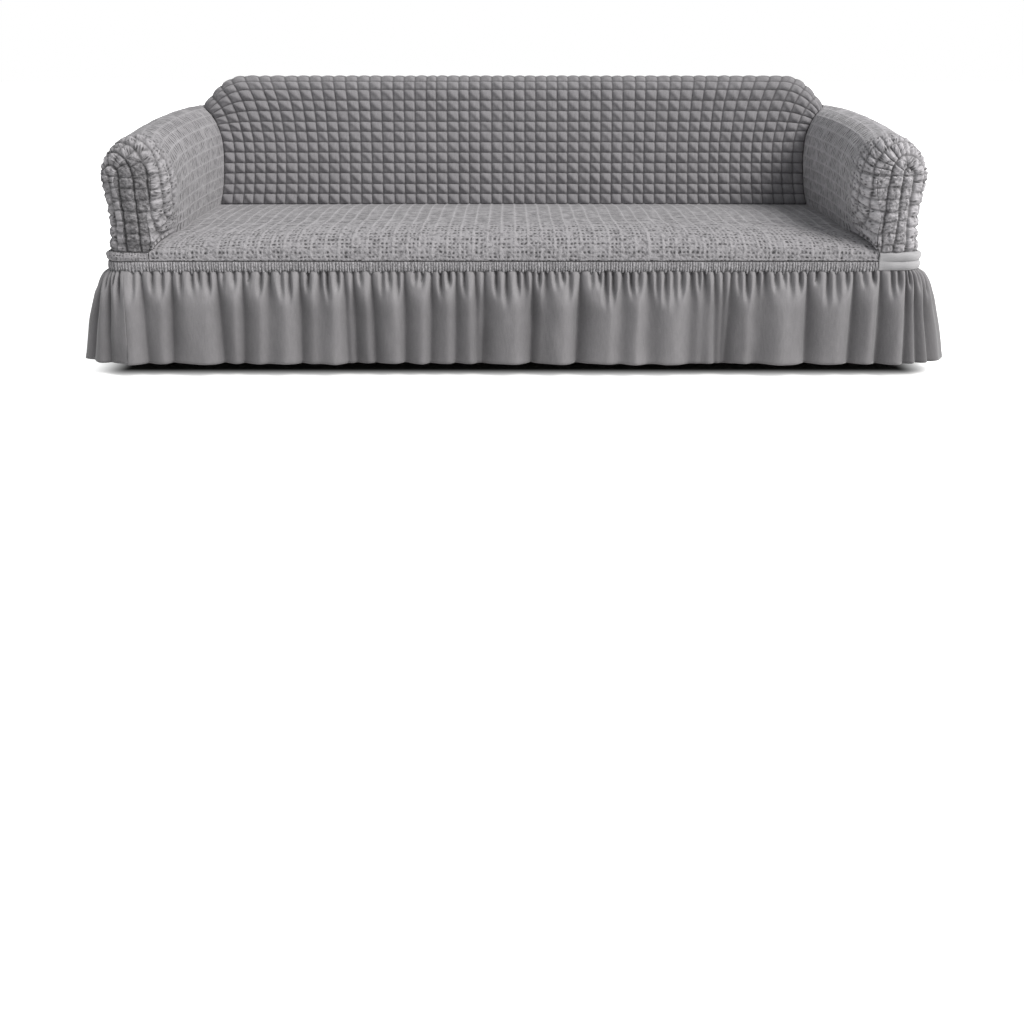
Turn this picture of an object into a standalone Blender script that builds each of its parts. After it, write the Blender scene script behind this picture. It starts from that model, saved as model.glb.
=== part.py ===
"""Hollow stretch slipcover for a three-seat sofa with rolled arms, in bubble cloth with a gathered skirt.

Every piece is one sewn panel: a closed sheet about 2.5 mm thick in the shape it takes on the sofa. The
sofa itself is left out. Points are worked out above the floor and in front of the sofa's front edge
(y = 0), and the empty that carries the pieces moves them so that the part's origin lies under the top
of the cover's back, where the sofa holds it up.
"""
import math
import random

import bpy
import bmesh
from mathutils import Vector

# Cloth, in metres
CLOTH = 0.0025            # thickness of a plain stretch of the cloth
SEAM = 0.0004             # gap left between two panels that are sewn together
PUFF_RISE = 0.0075        # how far a bubble of the back stands over its grooves
FACE_PUFF_RISE = 0.0065   # the same on the arm fronts
RIB_RISE = 0.0035         # ribs of the seat, where the bubbles are pulled long

# Back of the sofa
SEAT_HALF = 0.942         # half the width between the arms
BACK_FOOT = (0.615, 0.3895)     # depth and height of the line where back and seat meet
BACK_LEAN = math.radians(13)
BACK_FACE = 0.3475        # length of the leaning face, up to the roll
ROLL_RADIUS = 0.0605      # roll over the back's top edge
ROLL_END = math.radians(80)     # how far past its crest the roll goes down behind
REAR_Y = 0.8125           # inner face of the outside back
BACK_COLUMNS = 54
BACK_ROWS = 16
BACK_INNER_COLUMNS = (0, 1, 2, 3, 4, 6, 10, 16, 22)     # kept on the inner skin, from each end
BACK_DROP_START = 0.86    # share of the half width past which a row bends down to the arm
BACK_DROP_POWER = 2.2
BACK_FAN_START = 0.3      # share past which the columns spread to the longer line at the arm
FLAT_PUFF = 0.1           # share of the rise left at the rear corners, where the cloth is pulled tight

# Seat
SEAT_LINE = (             # depth, height along the middle of the seat, from the front seam to the back
    (0.0, 0.3122),
    (0.010, 0.350),
    (0.045, 0.381),
    (0.11, 0.399),
    (0.22, 0.407),
    (0.36, 0.408),
    (0.50, 0.401),
    (0.6142, 0.3895),
)
SEAT_DROP_REACH = 0.006   # depth within which the seat's edge drops to the front seam
SEAT_RIBS = 54
SEAT_ROWS = 9
SEAT_CROWN_POWER = 3.5    # how squarely the crowned seat meets its sides
SEAT_FRONT_RIB = 0.4      # share of a rib's rise on the front drop
SEAT_INNER_COLUMNS = (0, 2, 8, 18, 30, 42)              # kept on the inner skin, from each end

# Line where the arms meet the seat
EDGE_HEIGHT = 0.389
EDGE_DIP = 0.053
EDGE_DIP_REACH = 0.11
EDGE_FLARE = 0.061        # how much wider the seat is at its front
EDGE_FLARE_REACH = 0.18
EDGE_CLEARANCE = 0.002    # the seat stops this short of the arms' cloth
ROLL_CLEARANCE = 0.0010   # the outside back stops this short of the end of the back's roll

# Arms: half-width and height of the roll's section, from inside to outside
ARM_SECTION = (
    (0.926, 0.507),
    (0.934, 0.566),
    (0.965, 0.614),
    (1.015, 0.634),
    (1.066, 0.618),
    (1.102, 0.580),
    (1.120, 0.531),
    (1.115, 0.480),
    (1.111, 0.435),
    (1.112, 0.385),
)
ARM_FOOT_X = 1.122        # outer side at the band
ARM_FRONT_Y = 0.004
ARM_EDGE_RADIUS = 0.036   # rounding between the arm's sides and its front
WRAP_TURNS = (78, 45, 15)      # degrees round that edge at which the wrap has a row of points
ARM_RISE = 0.048          # the arm's top is this much higher at the back
ARM_RISE_START = 0.03
ARM_RISE_LENGTH = 0.65
ARM_RISE_POWER = 1.8      # how soon along the arm most of the rise is reached
ARM_BASE = 0.36
ARM_AROUND = 24           # points round the section, shared by the front panel and the wrap
ARM_ALONG = 6
ARM_INNER_ALONG = [0, 1, 2, 3, 5, 7, 9]                 # kept on the inner skin, from front to rear
SCROLL_CENTRE = (1.024, 0.533)
STEM_MIDDLE = (1.058, 0.3370)
FACE_BULGE = 0.016
FACE_RINGS = 3
FACE_PUFF_WIDTH = 0.024   # narrower bubbles rise less

# Bands and heading round the foot of the cover
BAND_TOP = 0.3360
HEADING_TOP = 0.3104
SKIRT_TOP = 0.2858
BAND_ROLL = 0.005         # how far the bands swell outwards
HEADING_SWELL = 0.002
CORNER_RADIUS = 0.050
CORNER_STEPS = 5
SIDE_STEPS = 6
ROLL_STEPS = 4
HEADING_STEPS = 12
BASE_HALF = 1.126         # half-width of the base
BASE_FRONT = 0.0
BASE_REAR = 0.8178

# Skirt
HEM_HEIGHT = 0.031
FRONT_FLARE = 0.060
SIDE_FLARE = 0.088
LEFT_CORNER_FLARES = (0.020, 0.0)     # flare towards the front left corner, of the front and of the side
REAR_FLARE = 0.045
FOLD_WIDTH = 0.082
FOLD_DEPTH = 0.030
GATHER_DEPTH = 0.005
CORNER_CUT = 0.0012       # each length of skirt stops this short of the corner
CORNER_FOLDS = 3          # fold lines in each half of a corner
CORNER_FOLD_RISE = 0.35
SKIRT_LEVELS = (0.0, 0.18, 0.55, 1.0)
SKIRT_SETBACK = 0.002     # the skirt is sewn this far inside the base's outline
FLARE_POWER = 0.85        # the flare opens a little faster near the heading

# The part's origin: under the crest of the back, mid width
MOUNT = Vector((0.0, 0.7526, 0.7724))

GREY = (0.235, 0.235, 0.245, 1.0)
PALE_GREY = (0.36, 0.36, 0.37, 1.0)


def ease(t):
    t = min(max(t, 0.0), 1.0)
    return t * t * (3.0 - 2.0 * t)


def smooth_curve(points):
    """A Catmull-Rom curve through the points, read from 0 to 1 by the length between them."""
    knots = [Vector(p) for p in points]
    reach = [0.0]
    for a, b in zip(knots, knots[1:]):
        reach.append(reach[-1] + (b - a).length)
    before = knots[0] * 2.0 - knots[1]
    after = knots[-1] * 2.0 - knots[-2]
    padded = [before] + knots + [after]

    def at(t):
        want = min(max(t, 0.0), 1.0) * reach[-1]
        k = 0
        while k < len(knots) - 2 and want > reach[k + 1]:
            k += 1
        w = (want - reach[k]) / (reach[k + 1] - reach[k])
        a, b, c, d = padded[k:k + 4]
        return 0.5 * (2.0 * b + (c - a) * w + (2.0 * a - 5.0 * b + 4.0 * c - d) * w * w
                      + (3.0 * b - a - 3.0 * c + d) * w ** 3)

    return at


def material(name, colour):
    """Matt knitted cloth."""
    cloth = bpy.data.materials.new(name)
    cloth.use_nodes = True
    shader = cloth.node_tree.nodes["Principled BSDF"]
    shader.inputs["Base Color"].default_value = colour
    shader.inputs["Roughness"].default_value = 0.9
    shader.inputs["Metallic"].default_value = 0.0
    cloth.diffuse_color = colour
    return cloth


def grid_normals(grid, side):
    """Outward normals at the points of a grid of rows."""
    last_i = len(grid) - 1
    last_j = len(grid[0]) - 1
    normals = []
    for i in range(last_i + 1):
        line = []
        for j in range(last_j + 1):
            across = grid[min(i + 1, last_i)][j] - grid[max(i - 1, 0)][j]
            up = grid[i][min(j + 1, last_j)] - grid[i][max(j - 1, 0)]
            line.append(across.cross(up).normalized() * side)
        normals.append(line)
    return normals


def add_piece(name, bm, cloth, parent):
    """Closes the mesh of one panel and hangs it on the cover's empty."""
    bmesh.ops.recalc_face_normals(bm, faces=bm.faces)
    mesh = bpy.data.meshes.new(name)
    bm.to_mesh(mesh)
    bm.free()
    mesh.materials.append(cloth)
    mesh.shade_smooth()
    mesh.set_sharp_from_angle(angle=math.radians(25))
    piece = bpy.data.objects.new(name, mesh)
    bpy.context.scene.collection.objects.link(piece)
    piece.parent = parent
    return piece


def border(rows, columns):
    """Index pairs round a grid, side by side: four runs, each from corner to corner."""
    first_i, last_i = rows[0], rows[-1]
    first_j, last_j = columns[0], columns[-1]
    return (
        [(i, first_j) for i in rows],
        [(last_i, j) for j in columns],
        [(i, last_j) for i in reversed(rows)],
        [(first_i, j) for j in reversed(columns)],
    )


def close_rim(bm, outer, inner, all_rows, all_columns, inner_rows, inner_columns):
    """Sews the outer skin's edge to the inner skin's, which has fewer points."""
    fine_runs = border(all_rows, all_columns)
    coarse_runs = border(inner_rows, inner_columns)
    for fine, coarse in zip(fine_runs, coarse_runs):
        places = [fine.index(pair) for pair in coarse]
        for start, end, a, b in zip(places, places[1:], coarse, coarse[1:]):
            middle = (start + end) // 2
            for k in range(start, middle):
                bm.faces.new((outer[fine[k]], outer[fine[k + 1]], inner[a]))
            bm.faces.new((outer[fine[middle]], inner[b], inner[a]))
            for k in range(middle, end):
                bm.faces.new((outer[fine[k]], outer[fine[k + 1]], inner[b]))


def sheet(name, grid, side, cloth, parent, puff=None, inner_rows=None, inner_columns=None):
    """A panel from a grid of points on its outer face. puff(i, j) gives the rise of a cell's bubble."""
    all_rows = list(range(len(grid)))
    all_columns = list(range(len(grid[0])))
    inner_rows = inner_rows or all_rows
    inner_columns = inner_columns or all_columns
    normals = grid_normals(grid, side)
    bm = bmesh.new()
    outer = {}
    for i in all_rows:
        for j in all_columns:
            outer[(i, j)] = bm.verts.new(grid[i][j])
    inner = {}
    for i in inner_rows:
        for j in inner_columns:
            inner[(i, j)] = bm.verts.new(grid[i][j] - normals[i][j] * CLOTH)
    for i in all_rows[:-1]:
        for j in all_columns[:-1]:
            corners = [outer[(i, j)], outer[(i + 1, j)], outer[(i + 1, j + 1)], outer[(i, j + 1)]]
            if not puff:
                bm.faces.new(corners)
                continue
            middle = sum((c.co for c in corners), Vector()) / 4.0
            lift = normals[i][j] + normals[i + 1][j] + normals[i + 1][j + 1] + normals[i][j + 1]
            tip = bm.verts.new(middle + lift.normalized() * puff(i, j))
            for a, b in zip(corners, corners[1:] + corners[:1]):
                bm.faces.new((a, b, tip))
    for i, next_i in zip(inner_rows, inner_rows[1:]):
        for j, next_j in zip(inner_columns, inner_columns[1:]):
            bm.faces.new((inner[(i, j)], inner[(i, next_j)], inner[(next_i, next_j)], inner[(next_i, j)]))
    close_rim(bm, outer, inner, all_rows, all_columns, inner_rows, inner_columns)
    return add_piece(name, bm, cloth, parent)


# Seat and arms share the line where they are sewn together
def seat_edge(y):
    """Half-width and height of the seat's side edge at depth y."""
    flare = 1.0 - ease(y / EDGE_FLARE_REACH)
    return SEAT_HALF + EDGE_FLARE * flare, EDGE_HEIGHT - EDGE_DIP * math.exp(-y / EDGE_DIP_REACH)


def seat_panel(cloth, parent):
    """Deck of the seat with its front drop, ribbed from front to back and crowned in the middle."""
    middle_line = smooth_curve(SEAT_LINE)
    drop_foot = SEAT_LINE[0][1]
    grid = []
    for i in range(2 * SEAT_RIBS + 1):
        u = i / SEAT_RIBS - 1.0
        crown = 1.0 - abs(u) ** SEAT_CROWN_POWER
        rib = RIB_RISE if i % 2 else 0.0
        line = []
        for j in range(SEAT_ROWS + 1):
            y, crown_z = middle_line(j / SEAT_ROWS)
            half, edge_z = seat_edge(y)
            edge_z = drop_foot + (edge_z - drop_foot) * ease(y / SEAT_DROP_REACH)
            z = edge_z + (crown_z - edge_z) * crown
            fade = ease(j / 2.0) * ease((SEAT_ROWS - j) / 1.0)
            front = y - rib * (1.0 - fade) * SEAT_FRONT_RIB
            line.append(Vector((u * (half - EDGE_CLEARANCE), front, z + rib * fade)))
        grid.append(line)
    far_end = [2 * SEAT_RIBS - k for k in reversed(SEAT_INNER_COLUMNS)]
    inner_rows = list(SEAT_INNER_COLUMNS) + [SEAT_RIBS] + far_end
    return sheet("seat_panel", grid, 1.0, cloth, parent, inner_rows=inner_rows)


def arm_section(y):
    """The arm's section at depth y, as a curve of half-width and height from the seat to the band."""
    seam_x, seam_z = seat_edge(y)
    share = min(max((y - ARM_RISE_START) / ARM_RISE_LENGTH, 0.0), 1.0)
    climb = 1.0 - (1.0 - share) ** ARM_RISE_POWER
    rise = ARM_RISE * climb / (ARM_SECTION[3][1] - ARM_BASE)
    points = [(seam_x, seam_z + SEAM)]
    knee_x = ARM_SECTION[0][0] + 0.30 * (seam_x - ARM_SECTION[0][0])
    points.append((knee_x, 0.5 * (seam_z + ARM_SECTION[0][1])))
    for x, z in ARM_SECTION:
        points.append((x, z + rise * max(z - ARM_BASE, 0.0)))
    points.append((ARM_FOOT_X, BAND_TOP + SEAM))
    return smooth_curve(points)


def arm_point(s, y, inset=0.0):
    """Point of the arm's outer face; inset moves it inwards, as near the rounded front edge."""
    section = arm_section(y)
    x, z = section(s)
    if inset:
        tangent = (section(min(s + 0.01, 1.0)) - section(max(s - 0.01, 0.0))).normalized()
        near_seat = ease(s / 0.14)
        x += tangent.y * inset * near_seat
        z -= tangent.x * inset * near_seat * ease((1.0 - s) / 0.12)
    return x, z


# Back: its side edge lies on the arm
def back_profile(reach):
    """Depth and height along the middle of the back, at a length measured up from the seat."""
    face_way = Vector((math.sin(BACK_LEAN), math.cos(BACK_LEAN)))
    foot = Vector(BACK_FOOT)
    if reach <= BACK_FACE:
        return foot + face_way * reach
    out = Vector((-face_way.y, face_way.x))
    centre = foot + face_way * BACK_FACE - out * ROLL_RADIUS
    turn = (reach - BACK_FACE) / ROLL_RADIUS
    spoke = math.pi - BACK_LEAN - turn
    return centre + Vector((math.cos(spoke), math.sin(spoke))) * ROLL_RADIUS


BACK_LENGTH = BACK_FACE + ROLL_RADIUS * (math.pi / 2 - BACK_LEAN + ROLL_END)
ARM_GIRTH = 0.735               # length of the arm's section
ARM_TOP_START = 0.31            # where on the section the back's edge turns over the arm's top
ARM_TOP_END = 0.455             # where it reaches the rear seam
REAR_SIDE_END = 0.76            # where the rear panel's side edge turns into its top edge
REAR_ARM_POINTS = 6
REAR_CORNER_COLUMNS = (27, 26, 25, 24, 23, 21, 18, 13, 7, 0)    # of the back, that the rear's edge follows
REAR_LEVELS = (0.0, 0.17, 0.4, 0.65, 0.85, 1.0)


def back_edge_on_arm(v):
    """Place on the arm's section, from 0 to 1, where row v of the back ends."""
    climb = v * BACK_LENGTH / ARM_GIRTH
    if climb < ARM_TOP_START:
        return climb
    w = (climb - ARM_TOP_START) / (BACK_LENGTH / ARM_GIRTH - ARM_TOP_START)
    return ARM_TOP_START + (ARM_TOP_END - ARM_TOP_START) * (1.0 - (1.0 - w) ** 1.6)


def back_row(v):
    """One row of the inside back as evenly fanned points, from mid width to the arm."""
    y, z = back_profile(v * BACK_LENGTH)
    end_x, end_z = arm_point(back_edge_on_arm(v), y)
    end_x -= SEAM if v < 0.6 else 0.0
    end_z += SEAM * 2.0 if v >= 0.6 else 0.0
    drop = end_z - z if v > 0.3 else (end_z - z) * v / 0.3
    steps = 160
    trail = []
    for k in range(steps + 1):
        t = k / steps
        bend = max(0.0, (t - BACK_DROP_START) / (1.0 - BACK_DROP_START)) ** BACK_DROP_POWER
        trail.append(Vector((end_x * t, y, z + drop * bend)))
    reach = [0.0]
    for a, b in zip(trail, trail[1:]):
        reach.append(reach[-1] + (b - a).length)
    half = BACK_COLUMNS // 2
    points = []
    for i in range(half + 1):
        u = i / half
        spread = max(0.0, (u - BACK_FAN_START) / (1.0 - BACK_FAN_START)) ** 2
        want = u * SEAT_HALF + (reach[-1] - SEAT_HALF) * spread
        k = 0
        while k < steps - 1 and reach[k + 1] < want:
            k += 1
        w = (want - reach[k]) / (reach[k + 1] - reach[k])
        points.append(trail[k].lerp(trail[k + 1], min(w, 1.0)))
    return points


def inside_back(cloth, parent):
    """Bubbled panel from the seat up the back and over its rolled top, down to the rear seam."""
    rows = [back_row(j / BACK_ROWS) for j in range(BACK_ROWS + 1)]
    half = BACK_COLUMNS // 2
    grid = []
    for i in range(-half, half + 1):
        way = 1.0 if i >= 0 else -1.0
        grid.append([Vector((row[abs(i)].x * way, row[abs(i)].y, row[abs(i)].z)) for row in rows])
    far_end = [BACK_COLUMNS - k for k in reversed(BACK_INNER_COLUMNS)]
    inner_rows = list(BACK_INNER_COLUMNS) + [half] + far_end

    def puff(i, j):
        from_end = min(i, BACK_COLUMNS - 1 - i)
        return FLAT_PUFF * PUFF_RISE if j == BACK_ROWS - 1 and from_end < 3 else PUFF_RISE

    return sheet("inside_back", grid, 1.0, cloth, parent, puff=puff, inner_rows=inner_rows)


def rear_outline():
    """Half of the rear's outline: over the arm's outer side and top, then up the back's corner to mid width."""
    section = arm_section(REAR_Y)
    points = []
    for k in range(REAR_ARM_POINTS):
        points.append(section(REAR_SIDE_END + (ARM_TOP_END - REAR_SIDE_END) * k / REAR_ARM_POINTS))
    last_row = back_row(1.0)
    for k in REAR_CORNER_COLUMNS:
        points.append(Vector((last_row[k].x, last_row[k].z - ROLL_CLEARANCE)))
    return points


def outside_back(cloth, parent):
    """Flat panel down the rear, cut to the outline of the arms and the back."""
    half = rear_outline()
    section = arm_section(REAR_Y)
    side = [section(1.0 - (1.0 - REAR_SIDE_END) * k / 30) for k in range(31)]
    top = half + [Vector((-p.x, p.y)) for p in reversed(half[:-1])]
    grid = []
    for point in top:
        u = point.x / half[0].x if abs(point.x) < half[0].x else math.copysign(1.0, point.x)
        line = []
        for level in REAR_LEVELS:
            z = SKIRT_TOP + SEAM + (point.y - SKIRT_TOP - SEAM) * level
            edge = min(side, key=lambda p: abs(p.y - z)).x if z > BAND_TOP else ARM_FOOT_X
            straight = ARM_FOOT_X + (half[0].x - ARM_FOOT_X) * level
            x = ARM_FOOT_X * u * (1.0 - level) + point.x * level
            if level < 1.0:
                x += (edge - straight) * math.copysign(abs(u) ** 6, u)
            line.append(Vector((x, REAR_Y + CLOTH, z)))
        grid.append(line)
    return sheet("outside_back", grid, 1.0, cloth, parent)


def arm_rear(s):
    """Depth at which the arm's cloth ends, for a place on its section: on the back, or at the rear."""
    if s >= ARM_TOP_END:
        return REAR_Y - SEAM
    low, high = 0.0, 1.0
    for _ in range(24):
        middle = 0.5 * (low + high)
        if back_edge_on_arm(middle) < s:
            low = middle
        else:
            high = middle
    return min(back_profile(low * BACK_LENGTH).x, REAR_Y) - SEAM


def arm_wrap(name, way, cloth, parent):
    """Panel from the seat over the arm's roll and down its outer side, from the front edge to the rear."""
    grid = []
    for i in range(ARM_AROUND + 1):
        s = i / ARM_AROUND
        rear = arm_rear(s)
        line = []
        for angle in WRAP_TURNS:
            turn = math.radians(angle)
            y = ARM_FRONT_Y + ARM_EDGE_RADIUS * (1.0 - math.sin(turn))
            x, z = arm_point(s, y, inset=ARM_EDGE_RADIUS * (1.0 - math.cos(turn)))
            line.append(Vector((x * way, y, z)))
        start = ARM_FRONT_Y + ARM_EDGE_RADIUS * 2.0
        for j in range(ARM_ALONG + 1):
            y = start + (rear - start) * j / ARM_ALONG
            x, z = arm_point(s, y)
            line.append(Vector((x * way, y, z)))
        grid.append(line)
    inner_rows = [0, 1, 2, 3] + list(range(4, ARM_AROUND + 1, 2))
    return sheet(name, grid, way, cloth, parent, inner_rows=inner_rows, inner_columns=ARM_INNER_ALONG)


def arm_front(name, way, cloth, parent):
    """Panel on the front of the arm: rings of bubbles run up one side of it, over the scroll and down."""
    rim_y = ARM_FRONT_Y - CLOTH
    rim_inset = ARM_EDGE_RADIUS * (1.0 - math.cos(math.radians(WRAP_TURNS[0])))
    rim = []
    for i in range(ARM_AROUND + 1):
        x, z = arm_point(i / ARM_AROUND, ARM_FRONT_Y, inset=rim_inset)
        rim.append(Vector((x, max(z, BAND_TOP + SEAM))))
    middle = ARM_AROUND // 2
    spine = []
    for i in range(middle + 1):
        level = 0.5 * (rim[i].y + rim[ARM_AROUND - i].y)
        t = min((level - STEM_MIDDLE[1]) / (SCROLL_CENTRE[1] - STEM_MIDDLE[1]), 1.0)
        t = max(t, 0.0)
        spine.append(Vector(STEM_MIDDLE).lerp(Vector(SCROLL_CENTRE), t))
    scroll = min(i for i, p in enumerate(spine) if p.y > SCROLL_CENTRE[1] - 0.004)
    bm = bmesh.new()

    def skin(back):
        points = {}
        for k in range(FACE_RINGS):
            t = k / FACE_RINGS
            for i in range(ARM_AROUND + 1):
                centre = spine[min(i, ARM_AROUND - i, scroll)]
                p = rim[i].lerp(centre, t)
                y = rim_y - FACE_BULGE * (1.0 - (1.0 - t) ** 2) + back
                points[(k, i)] = bm.verts.new((p.x * way, y, p.y))
        for i in range(scroll + 1):
            centre = spine[i]
            points[(FACE_RINGS, i)] = bm.verts.new((centre.x * way, rim_y - FACE_BULGE + back, centre.y))
        for i in range(scroll + 1, ARM_AROUND + 1):
            points[(FACE_RINGS, i)] = points[(FACE_RINGS, min(scroll, ARM_AROUND - i))]
        return points

    front = skin(0.0)
    rear = skin(CLOTH)
    for k in range(FACE_RINGS):
        for i in range(ARM_AROUND):
            ring = [(k, i), (k, i + 1), (k + 1, i + 1), (k + 1, i)]
            corners = []
            for key in ring:
                if front[key] not in corners:
                    corners.append(front[key])
            centre = sum((c.co for c in corners), Vector()) / len(corners)
            width = min((a.co - b.co).length for a, b in zip(corners, corners[1:] + corners[:1]))
            tip = bm.verts.new(centre + Vector((0.0, -FACE_PUFF_RISE * min(1.0, width / FACE_PUFF_WIDTH), 0.0)))
            for a, b in zip(corners, corners[1:] + corners[:1]):
                bm.faces.new((a, b, tip))
            behind = []
            for key in reversed(ring):
                if rear[key] not in behind:
                    behind.append(rear[key])
            bm.faces.new(behind)
    for i in range(ARM_AROUND):
        bm.faces.new((front[(0, i)], front[(0, i + 1)], rear[(0, i + 1)], rear[(0, i)]))
    for k in range(FACE_RINGS):
        for i in (0, ARM_AROUND):
            bm.faces.new((front[(k, i)], front[(k + 1, i)], rear[(k + 1, i)], rear[(k, i)]))
    return add_piece(name, bm, cloth, parent)


# Foot of the cover: bands, heading and skirt follow the base's rounded outline
def base_line(way, start_x, rear_y):
    """Plan points and outward normals from the front, round one front corner, to the rear."""
    corner = Vector((BASE_HALF - CORNER_RADIUS, BASE_FRONT + CORNER_RADIUS))
    line = [(Vector((start_x * way, BASE_FRONT)), Vector((0.0, -1.0)))]
    for k in range(CORNER_STEPS + 1):
        angle = math.pi / 2 * k / CORNER_STEPS
        out = Vector((math.sin(angle) * way, -math.cos(angle)))
        centre = Vector((corner.x * way, corner.y))
        line.append((centre + out * CORNER_RADIUS, out))
    for k in range(1, SIDE_STEPS + 1):
        y = corner.y + (rear_y - corner.y) * k / SIDE_STEPS
        line.append((Vector((BASE_HALF * way, y)), Vector((1.0 * way, 0.0))))
    return line


def band(name, way, start_x, rolls, cloth, parent):
    """Stuffed-looking band under the arm, round the corner and along the side, as one or two soft rolls."""
    line = base_line(way, start_x, REAR_Y - SEAM)
    grid = []
    for place, out in line:
        column = []
        for low, high in rolls:
            for k in range(1 if column else 0, ROLL_STEPS + 1):
                swell = BAND_ROLL * math.sin(math.pi * k / ROLL_STEPS) if 0 < k < ROLL_STEPS else 0.0
                z = low + (high - low) * k / ROLL_STEPS
                spot = place + out * swell
                column.append(Vector((spot.x, spot.y, z)))
        grid.append(column)
    return sheet(name, grid, way, cloth, parent)


def front_line():
    """Plan points and outward normals straight across the front, from the right arm to the left one."""
    end = seat_edge(0.0)[0]
    line = []
    for k in range(HEADING_STEPS + 1):
        line.append((Vector((end - 2.0 * end * k / HEADING_STEPS, BASE_FRONT)), Vector((0.0, -1.0))))
    return line


def shirred_heading(name, line, cloth, parent):
    """Strip along a line of the foot, into which the skirt is gathered."""
    grid = []
    for place, out in line:
        column = []
        for k in range(4):
            z = SKIRT_TOP + SEAM + (HEADING_TOP - SKIRT_TOP - SEAM) * k / 3
            spot = place + out * (HEADING_SWELL if k in (1, 2) else 0.0)
            column.append(Vector((spot.x, spot.y, z)))
        grid.append(column)
    return sheet(name, grid, -1.0, cloth, parent)


def fold_places(length, seed, width):
    """Uneven fold edges along a skirt: where each fold starts, its top, and how deep it is."""
    dice = random.Random(seed)
    count = max(int(length / width), 2)
    weights = [dice.uniform(0.6, 1.5) for _ in range(count)]
    scale = length / sum(weights)
    places = []
    at = 0.0
    for weight in weights:
        span = weight * scale
        lean = dice.uniform(0.35, 0.65)
        depth = dice.uniform(0.55, 1.0) * min(1.0, weight)
        for part, rise in ((0.0, 0.0), (lean * 0.5, 0.6), (lean, 1.0), (0.5 + lean * 0.5, 0.5)):
            places.append((at + span * part, rise * depth))
        at += span
    places.append((length, 0.0))
    return places


def skirt(name, corner_a, corner_b, flare, end_flares, seed, width, cloth, parent):
    """One length of the skirt between two base corners, gathered above and folded below."""
    start = Vector(corner_a)
    finish = Vector(corner_b)
    run = (finish - start).normalized()
    out = Vector((run.y, -run.x))
    length = (finish - start).length
    places = fold_places(length, seed, width)
    half_turn = math.pi / 4
    stations = []
    for k in range(CORNER_FOLDS):
        stations.append((0.0, -half_turn * (1.0 - k / CORNER_FOLDS), CORNER_FOLD_RISE * (k % 2)))
    for at, rise in places:
        stations.append((at, 0.0, rise))
    for k in range(1, CORNER_FOLDS + 1):
        stations.append((length, half_turn * k / CORNER_FOLDS, CORNER_FOLD_RISE * (k % 2)))
    grid = []
    for index, (at, turn, rise) in enumerate(stations):
        way = out * math.cos(turn) + run * math.sin(turn)
        side_share = math.sin(turn) ** 2
        end_flare = end_flares[0] if turn < 0 else end_flares[1]
        grow = flare * (1.0 - side_share) + end_flare * side_share
        centre = start + run * at
        if index == 0:
            centre = centre + run * CORNER_CUT
        if index == len(stations) - 1:
            centre = centre - run * CORNER_CUT
        column = []
        for level in SKIRT_LEVELS:
            depth = GATHER_DEPTH + (FOLD_DEPTH - GATHER_DEPTH) * ease(level)
            sewn = CORNER_RADIUS - SKIRT_SETBACK - GATHER_DEPTH * (1.0 - level)
            spread = sewn + grow * level ** FLARE_POWER + depth * rise
            spot = centre + way * spread
            z = SKIRT_TOP - (SKIRT_TOP - HEM_HEIGHT) * level
            column.append(Vector((spot.x, spot.y, z)))
        grid.append(column)
    return sheet(name, grid, -1.0, cloth, parent)


def skirts(cloth, parent):
    """Four lengths of skirt, joined at the corners."""
    x = BASE_HALF - CORNER_RADIUS
    front = BASE_FRONT + CORNER_RADIUS
    rear = BASE_REAR - CORNER_RADIUS
    corners = {
        "front_left": (-x, front),
        "front_right": (x, front),
        "rear_right": (x, rear),
        "rear_left": (-x, rear),
    }
    front_left, side_left = LEFT_CORNER_FLARES
    table = (
        ("skirt_front", "front_left", "front_right", FRONT_FLARE, (front_left, SIDE_FLARE), 11, FOLD_WIDTH),
        ("skirt_right", "front_right", "rear_right", SIDE_FLARE, (FRONT_FLARE, REAR_FLARE), 23, FOLD_WIDTH),
        ("skirt_back", "rear_right", "rear_left", REAR_FLARE, (SIDE_FLARE, SIDE_FLARE), 5, 1.5 * FOLD_WIDTH),
        ("skirt_left", "rear_left", "front_left", SIDE_FLARE, (REAR_FLARE, side_left), 37, FOLD_WIDTH),
    )
    for name, first, second, flare, end_flares, seed, width in table:
        skirt(name, corners[first], corners[second], flare, end_flares, seed, width, cloth, parent)


def build():
    for old in list(bpy.data.objects):
        bpy.data.objects.remove(old, do_unlink=True)
    bubble = material("bubble_cloth", GREY)
    ribbed = material("stretched_bubble_cloth", GREY)
    tape = material("smooth_tape", PALE_GREY)
    plain = material("plain_skirt_cloth", GREY)
    cover = bpy.data.objects.new("sofa_cover", None)
    bpy.context.scene.collection.objects.link(cover)
    cover.location = -MOUNT
    inside_back(bubble, cover)
    outside_back(bubble, cover)
    seat_panel(ribbed, cover)
    for side, way in (("left", -1.0), ("right", 1.0)):
        arm_wrap("arm_wrap_" + side, way, ribbed, cover)
        arm_front("arm_front_" + side, way, bubble, cover)
    left_roll = ((HEADING_TOP + SEAM, BAND_TOP),)
    middle = 0.5 * (SKIRT_TOP + BAND_TOP)
    right_rolls = ((SKIRT_TOP + SEAM, middle), (middle, BAND_TOP))
    arm_start = seat_edge(0.0)[0] + SEAM
    band("band_left", -1.0, arm_start, left_roll, ribbed, cover)
    band("band_right", 1.0, arm_start, right_rolls, tape, cover)
    shirred_heading("shirred_heading", front_line(), ribbed, cover)
    shirred_heading("shirred_heading_left", base_line(-1.0, arm_start, REAR_Y - SEAM), ribbed, cover)
    skirts(plain, cover)


build()
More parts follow.
